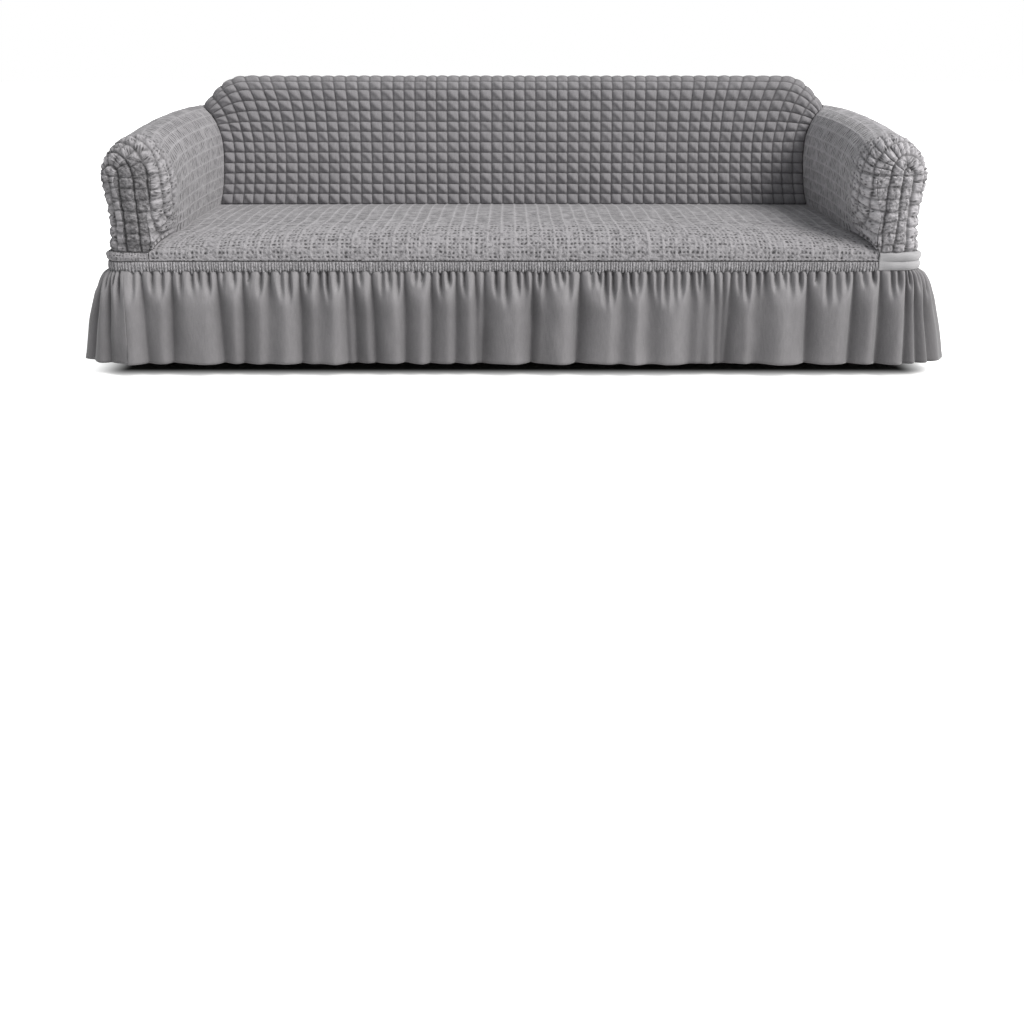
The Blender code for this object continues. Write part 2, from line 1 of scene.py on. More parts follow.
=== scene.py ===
"""Looks of a hollow stretch slipcover for a three-seat sofa with rolled arms.

The cloth is a grey bubble knit: raised squares on back and arms, pulled into long ribs over the seat. A
shirred heading and a gathered skirt of plain cloth hang below. Points are worked out in metres above the
floor and behind the seat's front seam, and ORIGIN moves them into the part's own frame.
"""
import math
from functools import partial

import bmesh
import bpy
import numpy as np
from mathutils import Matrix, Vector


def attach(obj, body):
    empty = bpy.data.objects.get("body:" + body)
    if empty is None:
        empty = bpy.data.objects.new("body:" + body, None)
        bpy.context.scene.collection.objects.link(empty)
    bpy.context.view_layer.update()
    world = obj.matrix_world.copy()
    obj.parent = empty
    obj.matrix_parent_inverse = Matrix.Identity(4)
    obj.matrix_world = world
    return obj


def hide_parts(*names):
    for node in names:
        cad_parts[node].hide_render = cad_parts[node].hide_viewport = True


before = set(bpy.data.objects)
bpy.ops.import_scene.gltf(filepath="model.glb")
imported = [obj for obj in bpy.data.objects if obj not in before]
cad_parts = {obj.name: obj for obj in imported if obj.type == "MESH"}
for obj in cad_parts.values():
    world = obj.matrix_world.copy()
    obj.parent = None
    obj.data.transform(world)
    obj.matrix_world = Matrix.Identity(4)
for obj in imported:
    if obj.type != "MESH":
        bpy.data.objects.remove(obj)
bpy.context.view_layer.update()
ORIGIN = np.array((0.0, 0.7526, 0.7724))


# Studio: a plain white floor that glows white for camera rays only, a painted light that hides the cast
# shadow, and is painted dark under and close round the cover's own footprint, a painted contact shadow;
# an even white sky, one large soft light on the right, and the camera in front, tilted down.
WHITE = (1.0, 1.0, 1.0, 1.0)
SKY_COLOUR = (0.96, 0.98, 1.0, 1.0)
SKY_LIGHT = 0.42
KEY_COLOUR = (1.0, 0.985, 0.965)
KEY_STRENGTH = 3.7
KEY_SOFTNESS = math.radians(30)
KEY_FROM = (0.63, -0.32, 0.70)
MATT_SPECULAR = 0.2
FLOOR_SIZE = 60.0
FLOOR_ROUGHNESS = 0.8
# Painted contact shadow: its dark colour under and round the cover's footprint, the floor's own pale colour,
# the footprint, the glow and how far out the painted shadow fades into it.
FLOOR_SHADED = (0.12, 0.115, 0.105, 1.0)
FLOOR_LIT = (0.80, 0.80, 0.795, 1.0)
FOOTPRINT = (1.10, 0.376)
FOOTPRINT_MIDDLE = (0.0, -0.345)
FLOOR_GLOW = 0.95
PAINTED_SHADOW_REACH = 0.12
CAMERA_LENS = 40.43
CAMERA_SENSOR = 36.0
CAMERA_PLACE = (-0.005, -3.9416, 0.0776)
CAMERA_TILT = math.radians(90.0 - 21.887)


def feed(tree, node, feeds):
    """Sets a node's inputs, or wires them to the sockets that feed them."""
    for label, value in feeds.items():
        if isinstance(value, bpy.types.NodeSocket):
            tree.links.new(value, node.inputs[label])
        else:
            node.inputs[label].default_value = value
    return node


def wired(tree, kind, feeds, **settings):
    """A new shader node with its settings, and its inputs set or wired."""
    node = tree.nodes.new("ShaderNode" + kind)
    for label, value in settings.items():
        setattr(node, label, value)
    return feed(tree, node, feeds)


def placed(name, data):
    """A new object with its data, in the scene."""
    made = bpy.data.objects.new(name, data)
    bpy.context.scene.collection.objects.link(made)
    return made


world = bpy.data.worlds.new("white_sky")
bpy.context.scene.world = world
world.use_nodes = True
sky = world.node_tree
sky_light = feed(sky, sky.nodes["Background"], {"Color": SKY_COLOUR, "Strength": SKY_LIGHT})
sky_seen = wired(sky, "Background", {"Color": WHITE, "Strength": 1.0})
sky_mix = wired(sky, "MixShader", {
    "Fac": wired(sky, "LightPath", {}).outputs["Is Camera Ray"],
    1: sky_light.outputs["Background"], 2: sky_seen.outputs["Background"]})
feed(sky, sky.nodes["World Output"], {"Surface": sky_mix.outputs["Shader"]})

key = bpy.data.lights.new("key_light", "SUN")
key.energy = KEY_STRENGTH
key.angle = KEY_SOFTNESS
key.color = KEY_COLOUR
key_lamp = placed("key_light", key)
key_lamp.rotation_mode = "QUATERNION"
key_lamp.rotation_quaternion = (-Vector(KEY_FROM)).to_track_quat("-Z", "Y")

bpy.ops.object.select_all(action="DESELECT")
bpy.ops.mesh.primitive_plane_add(size=FLOOR_SIZE, location=(0.0, 0.0, -ORIGIN[2]))
floor = bpy.context.object
floor.name = "studio_floor"
floor_paint = bpy.data.materials.new("white_floor")
floor_paint.use_nodes = True
paint = floor_paint.node_tree


def floor_step(operation, source, *second):
    """One step of working out how far a spot on the floor lies outside the footprint."""
    feeds = {0: source, 1: second} if second else {0: source}
    step = wired(paint, "VectorMath", feeds, operation=operation)
    return step.outputs["Value" if operation == "LENGTH" else "Vector"]


spot = wired(paint, "TexCoord", {}).outputs["Object"]
spot = floor_step("SUBTRACT", spot, *FOOTPRINT_MIDDLE, 0.0)
beyond = floor_step("SUBTRACT", floor_step("ABSOLUTE", spot), *FOOTPRINT, 0.0)
away = floor_step("LENGTH", floor_step("MAXIMUM", beyond, 0.0, 0.0, 0.0))
# Painted contact shadow and painted glow: none inside the footprint, where the floor takes the dark colour,
# rising a short reach outside it to the pale colour and the full glow seen by the camera.
glow = wired(paint, "MapRange", {"Value": away, "From Max": PAINTED_SHADOW_REACH, "To Max": FLOOR_GLOW},
             interpolation_type="SMOOTHSTEP").outputs["Result"]
floor_and_painted_shadow = wired(paint, "Mix", {"Factor": glow, "A": FLOOR_SHADED, "B": FLOOR_LIT},
                     data_type="RGBA")
glow_seen = wired(paint, "Math", {
    0: glow, 1: wired(paint, "LightPath", {}).outputs["Is Camera Ray"]}, operation="MULTIPLY")
feed(paint, paint.nodes["Principled BSDF"], {
    "Base Color": floor_and_painted_shadow.outputs["Result"], "Roughness": FLOOR_ROUGHNESS,
    "Specular IOR Level": MATT_SPECULAR,
    "Emission Color": WHITE, "Emission Strength": glow_seen.outputs["Value"]})
floor.data.materials.append(floor_paint)

camera = bpy.data.cameras.new("camera")
camera.lens = CAMERA_LENS
camera.sensor_width = CAMERA_SENSOR
camera_stand = placed("camera", camera)
camera_stand.location = CAMERA_PLACE
camera_stand.rotation_euler = (CAMERA_TILT, 0.0, 0.0)
bpy.context.scene.camera = camera_stand
bpy.context.scene.view_settings.view_transform = "Standard"


# Inside back: one bubbled panel from the seat up the leaning back, over its rolled top and down to the rear
# seam. The knit is gathered into squares about 35 mm wide that stand up as blunt pyramids between fine
# grooves. Its sides lie on the arms and turn over their tops.
CLOTH = 0.0016
SEAM = 0.0004
BACK_RISE = 0.0085
BACK_COLUMNS = 54
BACK_ROWS = 16
BACK_WOBBLE = (0.07, 0.05)
CELL_STEPS = (0.0, 0.05, 0.14, 0.26, 0.38, 0.5, 0.62, 0.74, 0.86, 0.95)
SEAT_HALF = 0.942
BACK_FOOT = np.array((0.615, 0.3895))
BACK_LEAN = math.radians(13)
BACK_FACE = 0.3475
ROLL_RADIUS = 0.0605
ROLL_END = math.radians(80)
BACK_LENGTH = BACK_FACE + ROLL_RADIUS * (math.pi / 2 - BACK_LEAN + ROLL_END)
BACK_DROP_START = 0.86
BACK_DROP_POWER = 2.2
BACK_DROP_GROWN = 0.3
BACK_TURN_POWER = 1.6
BACK_ON_ARM_TOP = 0.6
BACK_FAN_START = 0.3
BUBBLE_CRINKLE = 0.35
STROKE_CELL = 0.03
WELD_REACH = 0.00002
SMALLEST = 1e-12
BUBBLE_TALL = (0.82, 1.1)
BUBBLE_BOW = (0.9, 1.5)
BUBBLE_FALL = (0.38, 0.62)
BUBBLE_SHIFT = (-0.08, 0.10)
BUBBLE_SQUARENESS = 6
BUBBLE_DOME = (2.2, 0.75)
BUBBLE_FLAT_SIDE = 0.42
BUBBLE_STEEP_SIDE = 0.34
TOP_ROWS = (12.5, 14.8)
TOP_ROWS_FADE = (0.7, 0.5)
TOP_ROWS_FLATTER = 0.55
TOP_SAG = 0.004
TOP_SAG_ROWS = (11.0, 1.5)
END_COLUMNS = 3
END_ROW_SHARE = 0.25
REAR_Y = 0.8125
EDGE_HEIGHT = 0.389
EDGE_DIP = 0.053
EDGE_DIP_REACH = 0.11
EDGE_FLARE = 0.061
EDGE_FLARE_REACH = 0.18
ARM_SECTION = np.array((
    (0.926, 0.507), (0.934, 0.566), (0.965, 0.614), (1.015, 0.634), (1.066, 0.618),
    (1.102, 0.580), (1.120, 0.531), (1.115, 0.480), (1.111, 0.435), (1.112, 0.385),
))
ARM_KNEE = (0.30, 0.5)
ARM_FOOT_X = 1.122
ARM_RISE = 0.048
ARM_RISE_START = 0.03
ARM_RISE_LENGTH = 0.65
ARM_RISE_POWER = 1.8
ARM_BASE = 0.36
ARM_GIRTH = 0.735
ARM_TOP_START = 0.31
ARM_TOP_END = 0.455
BAND_TOP = 0.3360
ARM_TUCK = 0.003


def ease(t):
    t = np.clip(t, 0.0, 1.0)
    return t * t * (3.0 - 2.0 * t)


def reach_along(points):
    """Lengths along a line of points, from its start."""
    return np.append(0.0, np.cumsum(np.linalg.norm(np.diff(points, axis=0), axis=1)))


def grid(*parts):
    """Points or flat places on a grid, from their parts."""
    return np.stack(np.broadcast_arrays(*parts), axis=-1)


def stepped(cells, steps):
    """Places from 0 to cells, at the same steps in every cell."""
    return np.append((np.arange(cells)[:, None] + np.array(steps)).ravel(), cells)


def smooth_line(knots, t):
    """A smooth curve through the knots, read from 0 to 1 by the length of the straight runs between them."""
    knots = np.asarray(knots, float)
    reach = reach_along(knots)
    padded = np.vstack((2 * knots[0] - knots[1], knots, 2 * knots[-1] - knots[-2]))
    want = np.clip(t, 0.0, 1.0) * reach[-1]
    k = np.clip(np.searchsorted(reach, want, side="right") - 1, 0, len(knots) - 2)
    w = ((want - reach[k]) / (reach[k + 1] - reach[k]))[..., None]
    a, b, c, d = padded[k], padded[k + 1], padded[k + 2], padded[k + 3]
    return 0.5 * (2 * b + (c - a) * w + (2 * a - 5 * b + 4 * c - d) * w ** 2
                  + (3 * b - a - 3 * c + d) * w ** 3)


def seat_edge(y):
    """Half-width and height of the line at depth y where the seat meets the arm."""
    flare = 1.0 - ease(y / EDGE_FLARE_REACH)
    return SEAT_HALF + EDGE_FLARE * flare, EDGE_HEIGHT - EDGE_DIP * np.exp(-y / EDGE_DIP_REACH)


def arm_section(y, s):
    """Half-width and height of the arm's skin at depth y, for places s from the seat to the band."""
    seam_x, seam_z = seat_edge(y)
    left_over = 1.0 - np.clip((y - ARM_RISE_START) / ARM_RISE_LENGTH, 0.0, 1.0)
    rise = ARM_RISE * (1.0 - left_over ** ARM_RISE_POWER) / (ARM_SECTION[3, 1] - ARM_BASE)
    roll = ARM_SECTION.copy()
    roll[:, 1] += rise * np.maximum(roll[:, 1] - ARM_BASE, 0.0)
    seam, first = np.array((seam_x, seam_z)), ARM_SECTION[0]
    knee = first + np.array(ARM_KNEE) * (seam - first)
    ends = (seam_x, seam_z - ARM_TUCK), (ARM_FOOT_X, BAND_TOP - ARM_TUCK)
    return smooth_line(np.vstack((ends[0], knee, roll, ends[1])), s)


def back_profile(reach):
    """Depth and height of the back's skin at mid width, at lengths measured up from the seat."""
    reach = np.asarray(reach, float)[..., None]
    up = np.array((math.sin(BACK_LEAN), math.cos(BACK_LEAN)))
    out = np.array((-up[1], up[0]))
    centre = BACK_FOOT + up * BACK_FACE - out * ROLL_RADIUS
    spoke = math.pi - BACK_LEAN - (reach - BACK_FACE) / ROLL_RADIUS
    roll = centre + np.concatenate((np.cos(spoke), np.sin(spoke)), axis=-1) * ROLL_RADIUS
    return np.where(reach <= BACK_FACE, BACK_FOOT + up * reach, roll)


def back_edge_on_arm(v):
    """Place on the arm's section where row v of the back ends."""
    climb = v * BACK_LENGTH / ARM_GIRTH
    w = np.clip((climb - ARM_TOP_START) / (BACK_LENGTH / ARM_GIRTH - ARM_TOP_START), 0.0, 1.0)
    turned = (ARM_TOP_END - ARM_TOP_START) * (1 - (1 - w) ** BACK_TURN_POWER)
    return np.where(climb < ARM_TOP_START, climb, ARM_TOP_START + turned)


def back_row(v, places):
    """Row v of the back, at places from -1 to 1 across it."""
    y, z = back_profile(v * BACK_LENGTH)
    end_x, end_z = arm_section(y, back_edge_on_arm(np.array(v)))
    end_x -= SEAM if v < BACK_ON_ARM_TOP else 0.0
    end_z += SEAM * 2.0 if v >= BACK_ON_ARM_TOP else 0.0
    drop = (end_z - z) * min(v / BACK_DROP_GROWN, 1.0)
    t = np.linspace(0.0, 1.0, 241)
    bend = np.maximum(0.0, (t - BACK_DROP_START) / (1.0 - BACK_DROP_START)) ** BACK_DROP_POWER
    trail = np.stack((end_x * t, z + drop * bend), axis=1)
    reach = reach_along(trail)
    u = np.abs(places)
    spread = np.maximum(0.0, (u - BACK_FAN_START) / (1.0 - BACK_FAN_START)) ** 2
    want = u * SEAT_HALF + (reach[-1] - SEAT_HALF) * spread
    x = np.interp(want, reach, trail[:, 0]) * np.sign(places)
    return np.stack((x, np.full_like(x, y), np.interp(want, reach, trail[:, 1])), axis=1)


def cell_places(cells, wobble, dice):
    """Places from 0 to cells, close together at the grooves, and the same places with uneven cell widths."""
    even = stepped(cells, CELL_STEPS)
    lines = np.arange(cells + 1) + dice.uniform(-wobble, wobble, cells + 1)
    lines[0], lines[-1] = 0.0, cells
    return even, np.interp(even, np.arange(cells + 1), lines)


def bubble(u, v, dice, cells):
    """Height of a bubble in every cell, about 1 at its tip: a blunt pyramid that is pulled into a ridge from
    its upper left to its lower right corner, and falls away steeply below the ridge."""
    i = np.minimum(u.astype(int), cells[0] - 1)
    j = np.minimum(v.astype(int), cells[1] - 1)
    tall, bow, drop, shift = (dice.uniform(*limits, cells)[i, j]
                              for limits in (BUBBLE_TALL, BUBBLE_BOW, BUBBLE_FALL, BUBBLE_SHIFT))
    fu, fv = np.clip(u - i, 0.0, 1.0), np.clip(v - j, 0.0, 1.0)
    power = BUBBLE_SQUARENESS
    far = np.minimum((np.abs(2 * fu - 1) ** power + np.abs(2 * fv - 1) ** power) ** (1.0 / power), 1.0)
    ridge = 1.0 - ((1.0 - fu) ** bow + (1.0 - fv) ** bow) ** (1.0 / bow) + shift
    slope = 1.0 - BUBBLE_FLAT_SIDE * np.maximum(ridge, 0.0) - drop * ease(-ridge / BUBBLE_STEEP_SIDE)
    return tall * (1.0 - far ** BUBBLE_DOME[0]) ** BUBBLE_DOME[1] * slope


def edge_strip(coarse, fine_ids, coarse_ids):
    """Triangles between a finely and a coarsely divided edge that run side by side."""
    faces = []
    for start, end, a, b in zip(coarse, coarse[1:], coarse_ids, coarse_ids[1:]):
        middle = (start + end) // 2
        faces += [(fine_ids[k], fine_ids[k + 1], a) for k in range(start, middle)]
        faces.append((fine_ids[middle], b, a))
        faces += [(fine_ids[k], fine_ids[k + 1], b) for k in range(middle, end)]
    return faces


def cloth_panel(name, base, lift, side, cloth_uv, tone, inner_steps, folded=False, strokes=None, crinkle=1.0):
    """A closed sheet: a fine skin raised by lift over the base grid, and a plain skin behind it. A folded
    grid's last edge meets itself, and is welded there. Strokes count the crinkles, along and across them,
    crinkle is how deep they are, and tone is painted shade, from dark in the grooves to light on the tips."""
    normal = np.cross(np.gradient(base, axis=0), np.gradient(base, axis=1)) * side
    normal = normal / np.maximum(np.linalg.norm(normal, axis=-1, keepdims=True), SMALLEST)
    if folded:
        normal[:, -1] = (0.0, -1.0, 0.0)
    skin = base + normal * lift[..., None]
    rows, columns = (np.append(np.arange(0, lines - 1, step), lines - 1)
                     for lines, step in zip(base.shape, inner_steps))
    plain = np.ix_(rows, columns)
    behind = (base - normal * CLOTH)[plain]
    count = base.shape[0] * base.shape[1]
    front_ids = np.arange(count).reshape(base.shape[:2])
    back_ids = count + np.arange(len(rows) * len(columns)).reshape(behind.shape[:2])

    def quads(ids):
        return np.stack((ids[:-1, :-1], ids[1:, :-1], ids[1:, 1:], ids[:-1, 1:]), axis=-1).reshape(-1, 4)

    faces = np.vstack((quads(front_ids), quads(back_ids)[:, ::-1]))
    edges = ((rows, np.s_[:, 0], -1), (columns, -1, -1), (columns, 0, 1), (rows, np.s_[:, -1], 1))
    rim = np.array([face[::order] for lines, edge, order in edges[:3 if folded else 4]
                    for face in edge_strip(lines, front_ids[edge], back_ids[edge])])
    if side < 0:
        faces, rim = faces[:, ::-1], rim[:, ::-1]
    points = np.vstack((skin.reshape(-1, 3), behind.reshape(-1, 3))) - ORIGIN
    mesh = bpy.data.meshes.new(name)
    mesh.vertices.add(len(points))
    mesh.vertices.foreach_set("co", points.ravel())
    corners = np.concatenate((faces.ravel(), rim.ravel())).astype(np.int32)
    mesh.loops.add(len(corners))
    mesh.loops.foreach_set("vertex_index", corners)
    starts = np.concatenate((np.arange(len(faces)) * 4, 4 * len(faces) + np.arange(len(rim)) * 3))
    mesh.polygons.add(len(starts))
    mesh.polygons.foreach_set("loop_start", starts.astype(np.int32))
    mesh.update(calc_edges=True)
    mesh.validate()
    mesh.shade_smooth()
    where = np.empty(len(mesh.loops), np.int32)
    mesh.loops.foreach_get("vertex_index", where)
    strokes = cloth_uv / STROKE_CELL if strokes is None else strokes
    for layer, way in (("cloth", cloth_uv), ("strokes", strokes)):
        way = np.vstack((way.reshape(-1, 2), way[plain].reshape(-1, 2)))
        mesh.uv_layers.new(name=layer).data.foreach_set("uv", way[where].ravel())
    deep = np.zeros(lift.shape) + crinkle
    deep = np.concatenate((deep.ravel(), deep[plain].ravel()))
    # The tone goes into the raised attribute, from which the finish paints shade: dark in grooves, light on
    # tips.
    tone = np.concatenate((np.clip(tone, 0.0, 1.0).ravel(), np.zeros(back_ids.size)))
    for layer, values in (("crinkle", deep), ("raised", tone)):
        mesh.attributes.new(layer, "FLOAT", "POINT").data.foreach_set("value", values)
    if folded:
        shell = bmesh.new()
        shell.from_mesh(mesh)
        bmesh.ops.remove_doubles(shell, verts=shell.verts, dist=WELD_REACH)
        shell.to_mesh(mesh)
        shell.free()
    return placed(name, mesh)


def cloth_lengths(points):
    """Lengths along the cloth, across and along a grid, from its mean line each way."""
    steps = (np.linalg.norm(np.diff(points, axis=way), axis=-1).mean(axis=1 - way) for way in (0, 1))
    u, v = (np.append(0.0, np.cumsum(lengths)) for lengths in steps)
    return grid((u - u[-1] / 2)[:, None], v)


dice = np.random.default_rng(7)
back_u, back_across = cell_places(BACK_COLUMNS, BACK_WOBBLE[0], dice)
back_v, back_up = cell_places(BACK_ROWS, BACK_WOBBLE[1], dice)
back_base = np.stack([back_row(v / BACK_ROWS, back_across / BACK_COLUMNS * 2.0 - 1.0) for v in back_up], axis=1)
cell_u, cell_v = np.meshgrid(back_u, back_v, indexing="ij")
back_lift = BACK_RISE * bubble(cell_u, cell_v, dice, (BACK_COLUMNS, BACK_ROWS))
flatter = ease((cell_v - TOP_ROWS[0]) / TOP_ROWS_FADE[0]) * ease((TOP_ROWS[1] - cell_v) / TOP_ROWS_FADE[1])
back_lift *= 1.0 - TOP_ROWS_FLATTER * flatter
near_end = np.minimum(cell_u, BACK_COLUMNS - cell_u) < END_COLUMNS
back_lift *= np.where(near_end & (cell_v > BACK_ROWS - 1), END_ROW_SHARE, 1.0)
sag_start, sag_fade = TOP_SAG_ROWS
back_base[..., 2] -= TOP_SAG * ease((cell_v - sag_start) / sag_fade) * ease((BACK_ROWS - cell_v) / sag_fade)
# The bubbles' height is also their painted shade: darker low in the grooves, lighter on the tips.
inside_back = cloth_panel("back_bubbles", back_base, back_lift, 1.0, cloth_lengths(back_base),
                          back_lift / BACK_RISE, (10, 10), crinkle=BUBBLE_CRINKLE)


# The cloth itself: a matt grey knit. Its yarn is a fine weave with a speckled tone, and where it is pulled
# tight it crinkles in short strokes, in rows as wide as a bubble. Grooves and the hollows between crinkles
# are painted darker than tips, a painted shade, and crinkle tops a little lighter, a painted highlight.
YARN_PITCH = 0.0022
YARN_DEPTH = 0.00012
STROKE_DEPTH = 0.0026
SPECK_SCALE = 380.0
PATCH_SCALE = 9.0
SPECK_SHARE = 0.7
TONE_RANGE = (0.3, 0.7)
YARN_SHADES = (0.86, 1.12)
CREST_RANGE = (0.1, 0.9)
SHEEN_ROUGHNESS = 0.45
STROKE_SHARPNESS = 1.6
ROW_EDGE_SHARPNESS = 6.0
STROKE_SWAY = (0.7, 0.2)
STROKE_FADE = (0.30, 0.56)
DASHES_IN_ROW = 3.0
DASH_SHADES = (0.55, 0.6)
DASH_GROWTH = 2.5
CRUMPLE_CONTRAST = 2.6
SWELLS = {"sway": (1.6, 0.45, 1.0, 3.7), "fade": (1.2, 0.5, 1.0, 9.1),
          "jitter": (2.0, 1.0, 1.0, 6.6), "crumple": (3.6, 1.25, 3.0, 5.3)}
KNIT_INPUTS = {"Cloth": "Vector", "Strokes": "Vector", "Crinkle": "Float", "Stroke Depth": "Float",
               "Crumple": "Float", "Scatter": "Float", "Yarn Depth": "Float"}


def knit_group():
    """Height in metres of yarn and crinkles, the tone of the yarn, and how high on a crinkle a point is.
    Crinkles run across rows, and where Crinkle is over 1 they break up into dashes and crumples."""
    group = bpy.data.node_groups.new("crinkled_knit", "ShaderNodeTree")
    for label, kind in KNIT_INPUTS.items():
        group.interface.new_socket(name=label, in_out="INPUT", socket_type="NodeSocket" + kind)
    for label in ("Height", "Tone", "Crest"):
        group.interface.new_socket(name=label, in_out="OUTPUT", socket_type="NodeSocketFloat")
    given, result = (group.nodes.new(kind) for kind in ("NodeGroupInput", "NodeGroupOutput"))

    def maths(operation, *values):
        return wired(group, "Math", dict(enumerate(values)), operation=operation).outputs["Value"]

    plus, less, times = (partial(maths, operation) for operation in ("ADD", "SUBTRACT", "MULTIPLY"))

    def two_ways(source):
        node = wired(group, "SeparateXYZ", {"Vector": source})
        return node.outputs["X"], node.outputs["Y"]

    def noise(place, scale, detail):
        feeds = {"Vector": place, "Scale": scale, "Detail": detail}
        return wired(group, "TexNoise", feeds).outputs["Fac"]

    def swell(kind, x, y):
        x_scale, y_scale, detail, seed = SWELLS[kind]
        feeds = {"X": times(x, x_scale), "Y": times(y, y_scale), "Z": seed}
        return noise(wired(group, "CombineXYZ", feeds).outputs["Vector"], 1.0, detail)

    cloth, strokes, crinkle, stroke_depth, crumple, scatter, yarn_depth = (
        given.outputs[label] for label in KNIT_INPUTS)
    along, count = two_ways(strokes)
    row = maths("FLOOR", along)
    chance = wired(group, "TexWhiteNoise", {"W": row}, noise_dimensions="1D").outputs["Value"]
    shifted = plus(count, times(chance, scatter))
    sway = times(swell("sway", along, shifted), plus(STROKE_SWAY[0], times(scatter, STROKE_SWAY[1])))
    wave = maths("SINE", times(plus(shifted, sway), 2.0 * math.pi))
    stroke = maths("POWER", less(0.5, times(wave, 0.5)), STROKE_SHARPNESS)
    row_edge = maths("POWER", maths("ABSOLUTE", less(times(less(along, row), 2.0), 1.0)), ROW_EDGE_SHARPNESS)
    strength = wired(group, "MapRange", {"Value": swell("fade", along, shifted), "From Min": STROKE_FADE[0],
                                         "From Max": STROKE_FADE[1]}).outputs["Result"]
    stroke = times(times(stroke, less(1.0, row_edge)), strength)
    extra = maths("MAXIMUM", less(crinkle, 1.0), 0.0)
    jitter = swell("jitter", along, maths("FLOOR", shifted))
    dash = maths("SINE", times(plus(times(along, DASHES_IN_ROW), jitter), 2.0 * math.pi))
    dash = plus(times(dash, DASH_SHADES[1]), DASH_SHADES[0])
    dashed = maths("MINIMUM", times(extra, DASH_GROWTH), 1.0)
    stroke = times(stroke, plus(times(dash, dashed), less(1.0, dashed)))
    crumples = plus(times(less(swell("crumple", along, shifted), 0.5), CRUMPLE_CONTRAST), 0.5)
    crumpled = maths("MINIMUM", plus(crumple, times(extra, 0.5)), 1.0)
    blend = plus(times(less(1.0, stroke), less(1.0, crumpled)), times(crumples, crumpled))
    crest = plus(times(less(blend, 0.5), crinkle), 0.5)
    yarn = times(*(maths("SINE", times(way, 2.0 * math.pi / YARN_PITCH)) for way in two_ways(cloth)))
    height = plus(times(crest, stroke_depth), times(yarn, yarn_depth))
    tone = plus(times(noise(cloth, SPECK_SCALE, 3.0), SPECK_SHARE),
                times(noise(cloth, PATCH_SCALE, 2.0), 1.0 - SPECK_SHARE))
    feed(group, result, {"Height": height, "Tone": tone, "Crest": crest})
    return group


KNIT = knit_group()


def cloth_finish(name, groove, tip, stroke_depth, crumple, contrast, groove_width=0.6, scatter=7.3,
                 yarn_depth=YARN_DEPTH, roughness=0.9, sheen=0.2):
    """Matt cloth, painted from a dark colour in the grooves to a light colour on the tips, a painted shade.
    Contrast is how much darker the cloth is painted between two crinkles than on them, a painted shade."""
    finish = bpy.data.materials.new(name)
    finish.use_nodes = True
    tree = finish.node_tree

    def read(kind, output, **settings):
        return wired(tree, kind, {}, **settings).outputs[output]

    def scaled(source, low, high, start, end):
        return wired(tree, "MapRange", {"Value": source, "From Min": low, "From Max": high,
                                                  "To Min": start, "To Max": end}).outputs["Result"]

    def tinted(mode, factor, first, second):
        return wired(tree, "Mix", {"Factor": factor, "A": first, "B": second}, data_type="RGBA",
                     blend_type=mode).outputs["Result"]

    knit = wired(tree, "Group", {
        "Cloth": read("UVMap", "UV", uv_map="cloth"),
        "Strokes": read("UVMap", "UV", uv_map="strokes"),
        "Crinkle": read("Attribute", "Fac", attribute_name="crinkle"),
        "Stroke Depth": stroke_depth, "Crumple": crumple, "Scatter": scatter, "Yarn Depth": yarn_depth,
    }, node_tree=KNIT)
    raised = read("Attribute", "Fac", attribute_name="raised")
    # Painted shade between crinkles and a painted highlight on their tops, by how high on a crinkle a point is.
    crinkle_shade = scaled(knit.outputs["Crest"], *CREST_RANGE, 1.0 - contrast, 1.0 + 0.5 * contrast)
    yarn_shade = scaled(knit.outputs["Tone"], *TONE_RANGE, *YARN_SHADES)
    # Painted shade: grooves take the dark colour and tips the light one, by the raised attribute.
    colour = tinted("MIX", scaled(raised, 0.0, groove_width, 0.0, 1.0), (*groove, 1.0), (*tip, 1.0))
    colour = tinted("MULTIPLY", 1.0, tinted("MULTIPLY", 1.0, colour, crinkle_shade), yarn_shade)
    bump = wired(tree, "Bump", {"Strength": 1.0, "Distance": 1.0, "Height": knit.outputs["Height"]})
    feed(tree, tree.nodes["Principled BSDF"], {
        "Base Color": colour, "Roughness": roughness, "Specular IOR Level": MATT_SPECULAR,
        "Sheen Weight": sheen, "Sheen Roughness": SHEEN_ROUGHNESS, "Normal": bump.outputs["Normal"]})
    return finish


def dress(piece, finish, nodes, flat):
    """Gives a panel its finish, hangs it on the root, and hides the solids it stands for. Its flat size is not
    used.
    """
    piece.data.materials.append(finish)
    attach(piece, "root")
    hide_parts(*nodes)


def flat_size(cloth_uv):
    """A panel's cut size: its mean width and length along the cloth."""
    return tuple(round(abs(float(way)), 3) for way in cloth_uv[-1, -1] - cloth_uv[0, 0])


# The bubble cloth's painted shade: dark grey low in the grooves, lighter grey on the tips.
GREY_GROOVE_SHADE = (0.112, 0.108, 0.114)
GREY_TIP = (0.254, 0.247, 0.258)
bubble_cloth = cloth_finish("bubble_cloth", GREY_GROOVE_SHADE, GREY_TIP, stroke_depth=0.0008, crumple=1.0,
                            contrast=0.25, groove_width=0.35)
dress(inside_back, bubble_cloth, ["inside_back"],
      flat_size(cloth_lengths(back_base)))


# Outside back: one upright panel of the same bubble cloth, cut to the outline of the arms and the back, and
# sewn all round. Its squares stand in level rows, and it hangs nearly flat.
REAR_RISE = 0.0060
REAR_FOOT = 0.2862
REAR_PITCH = 0.0349
REAR_ROW = 0.0335
REAR_STEPS = np.array((0.0, 0.07, 0.25, 0.5, 0.75, 0.93))
REAR_SIDE_END = 0.76
REAR_FLAT = (2.24, 0.485)
REAR_COLUMNS = 27
REAR_CELLS = (34, 16)
REAR_SIDE_POINTS = 110
REAR_TOP_SEAM = 0.001
REAR_SIDE_GAP = 0.02
SIDE_HOLD = 6
SEAM_REACH = 0.012

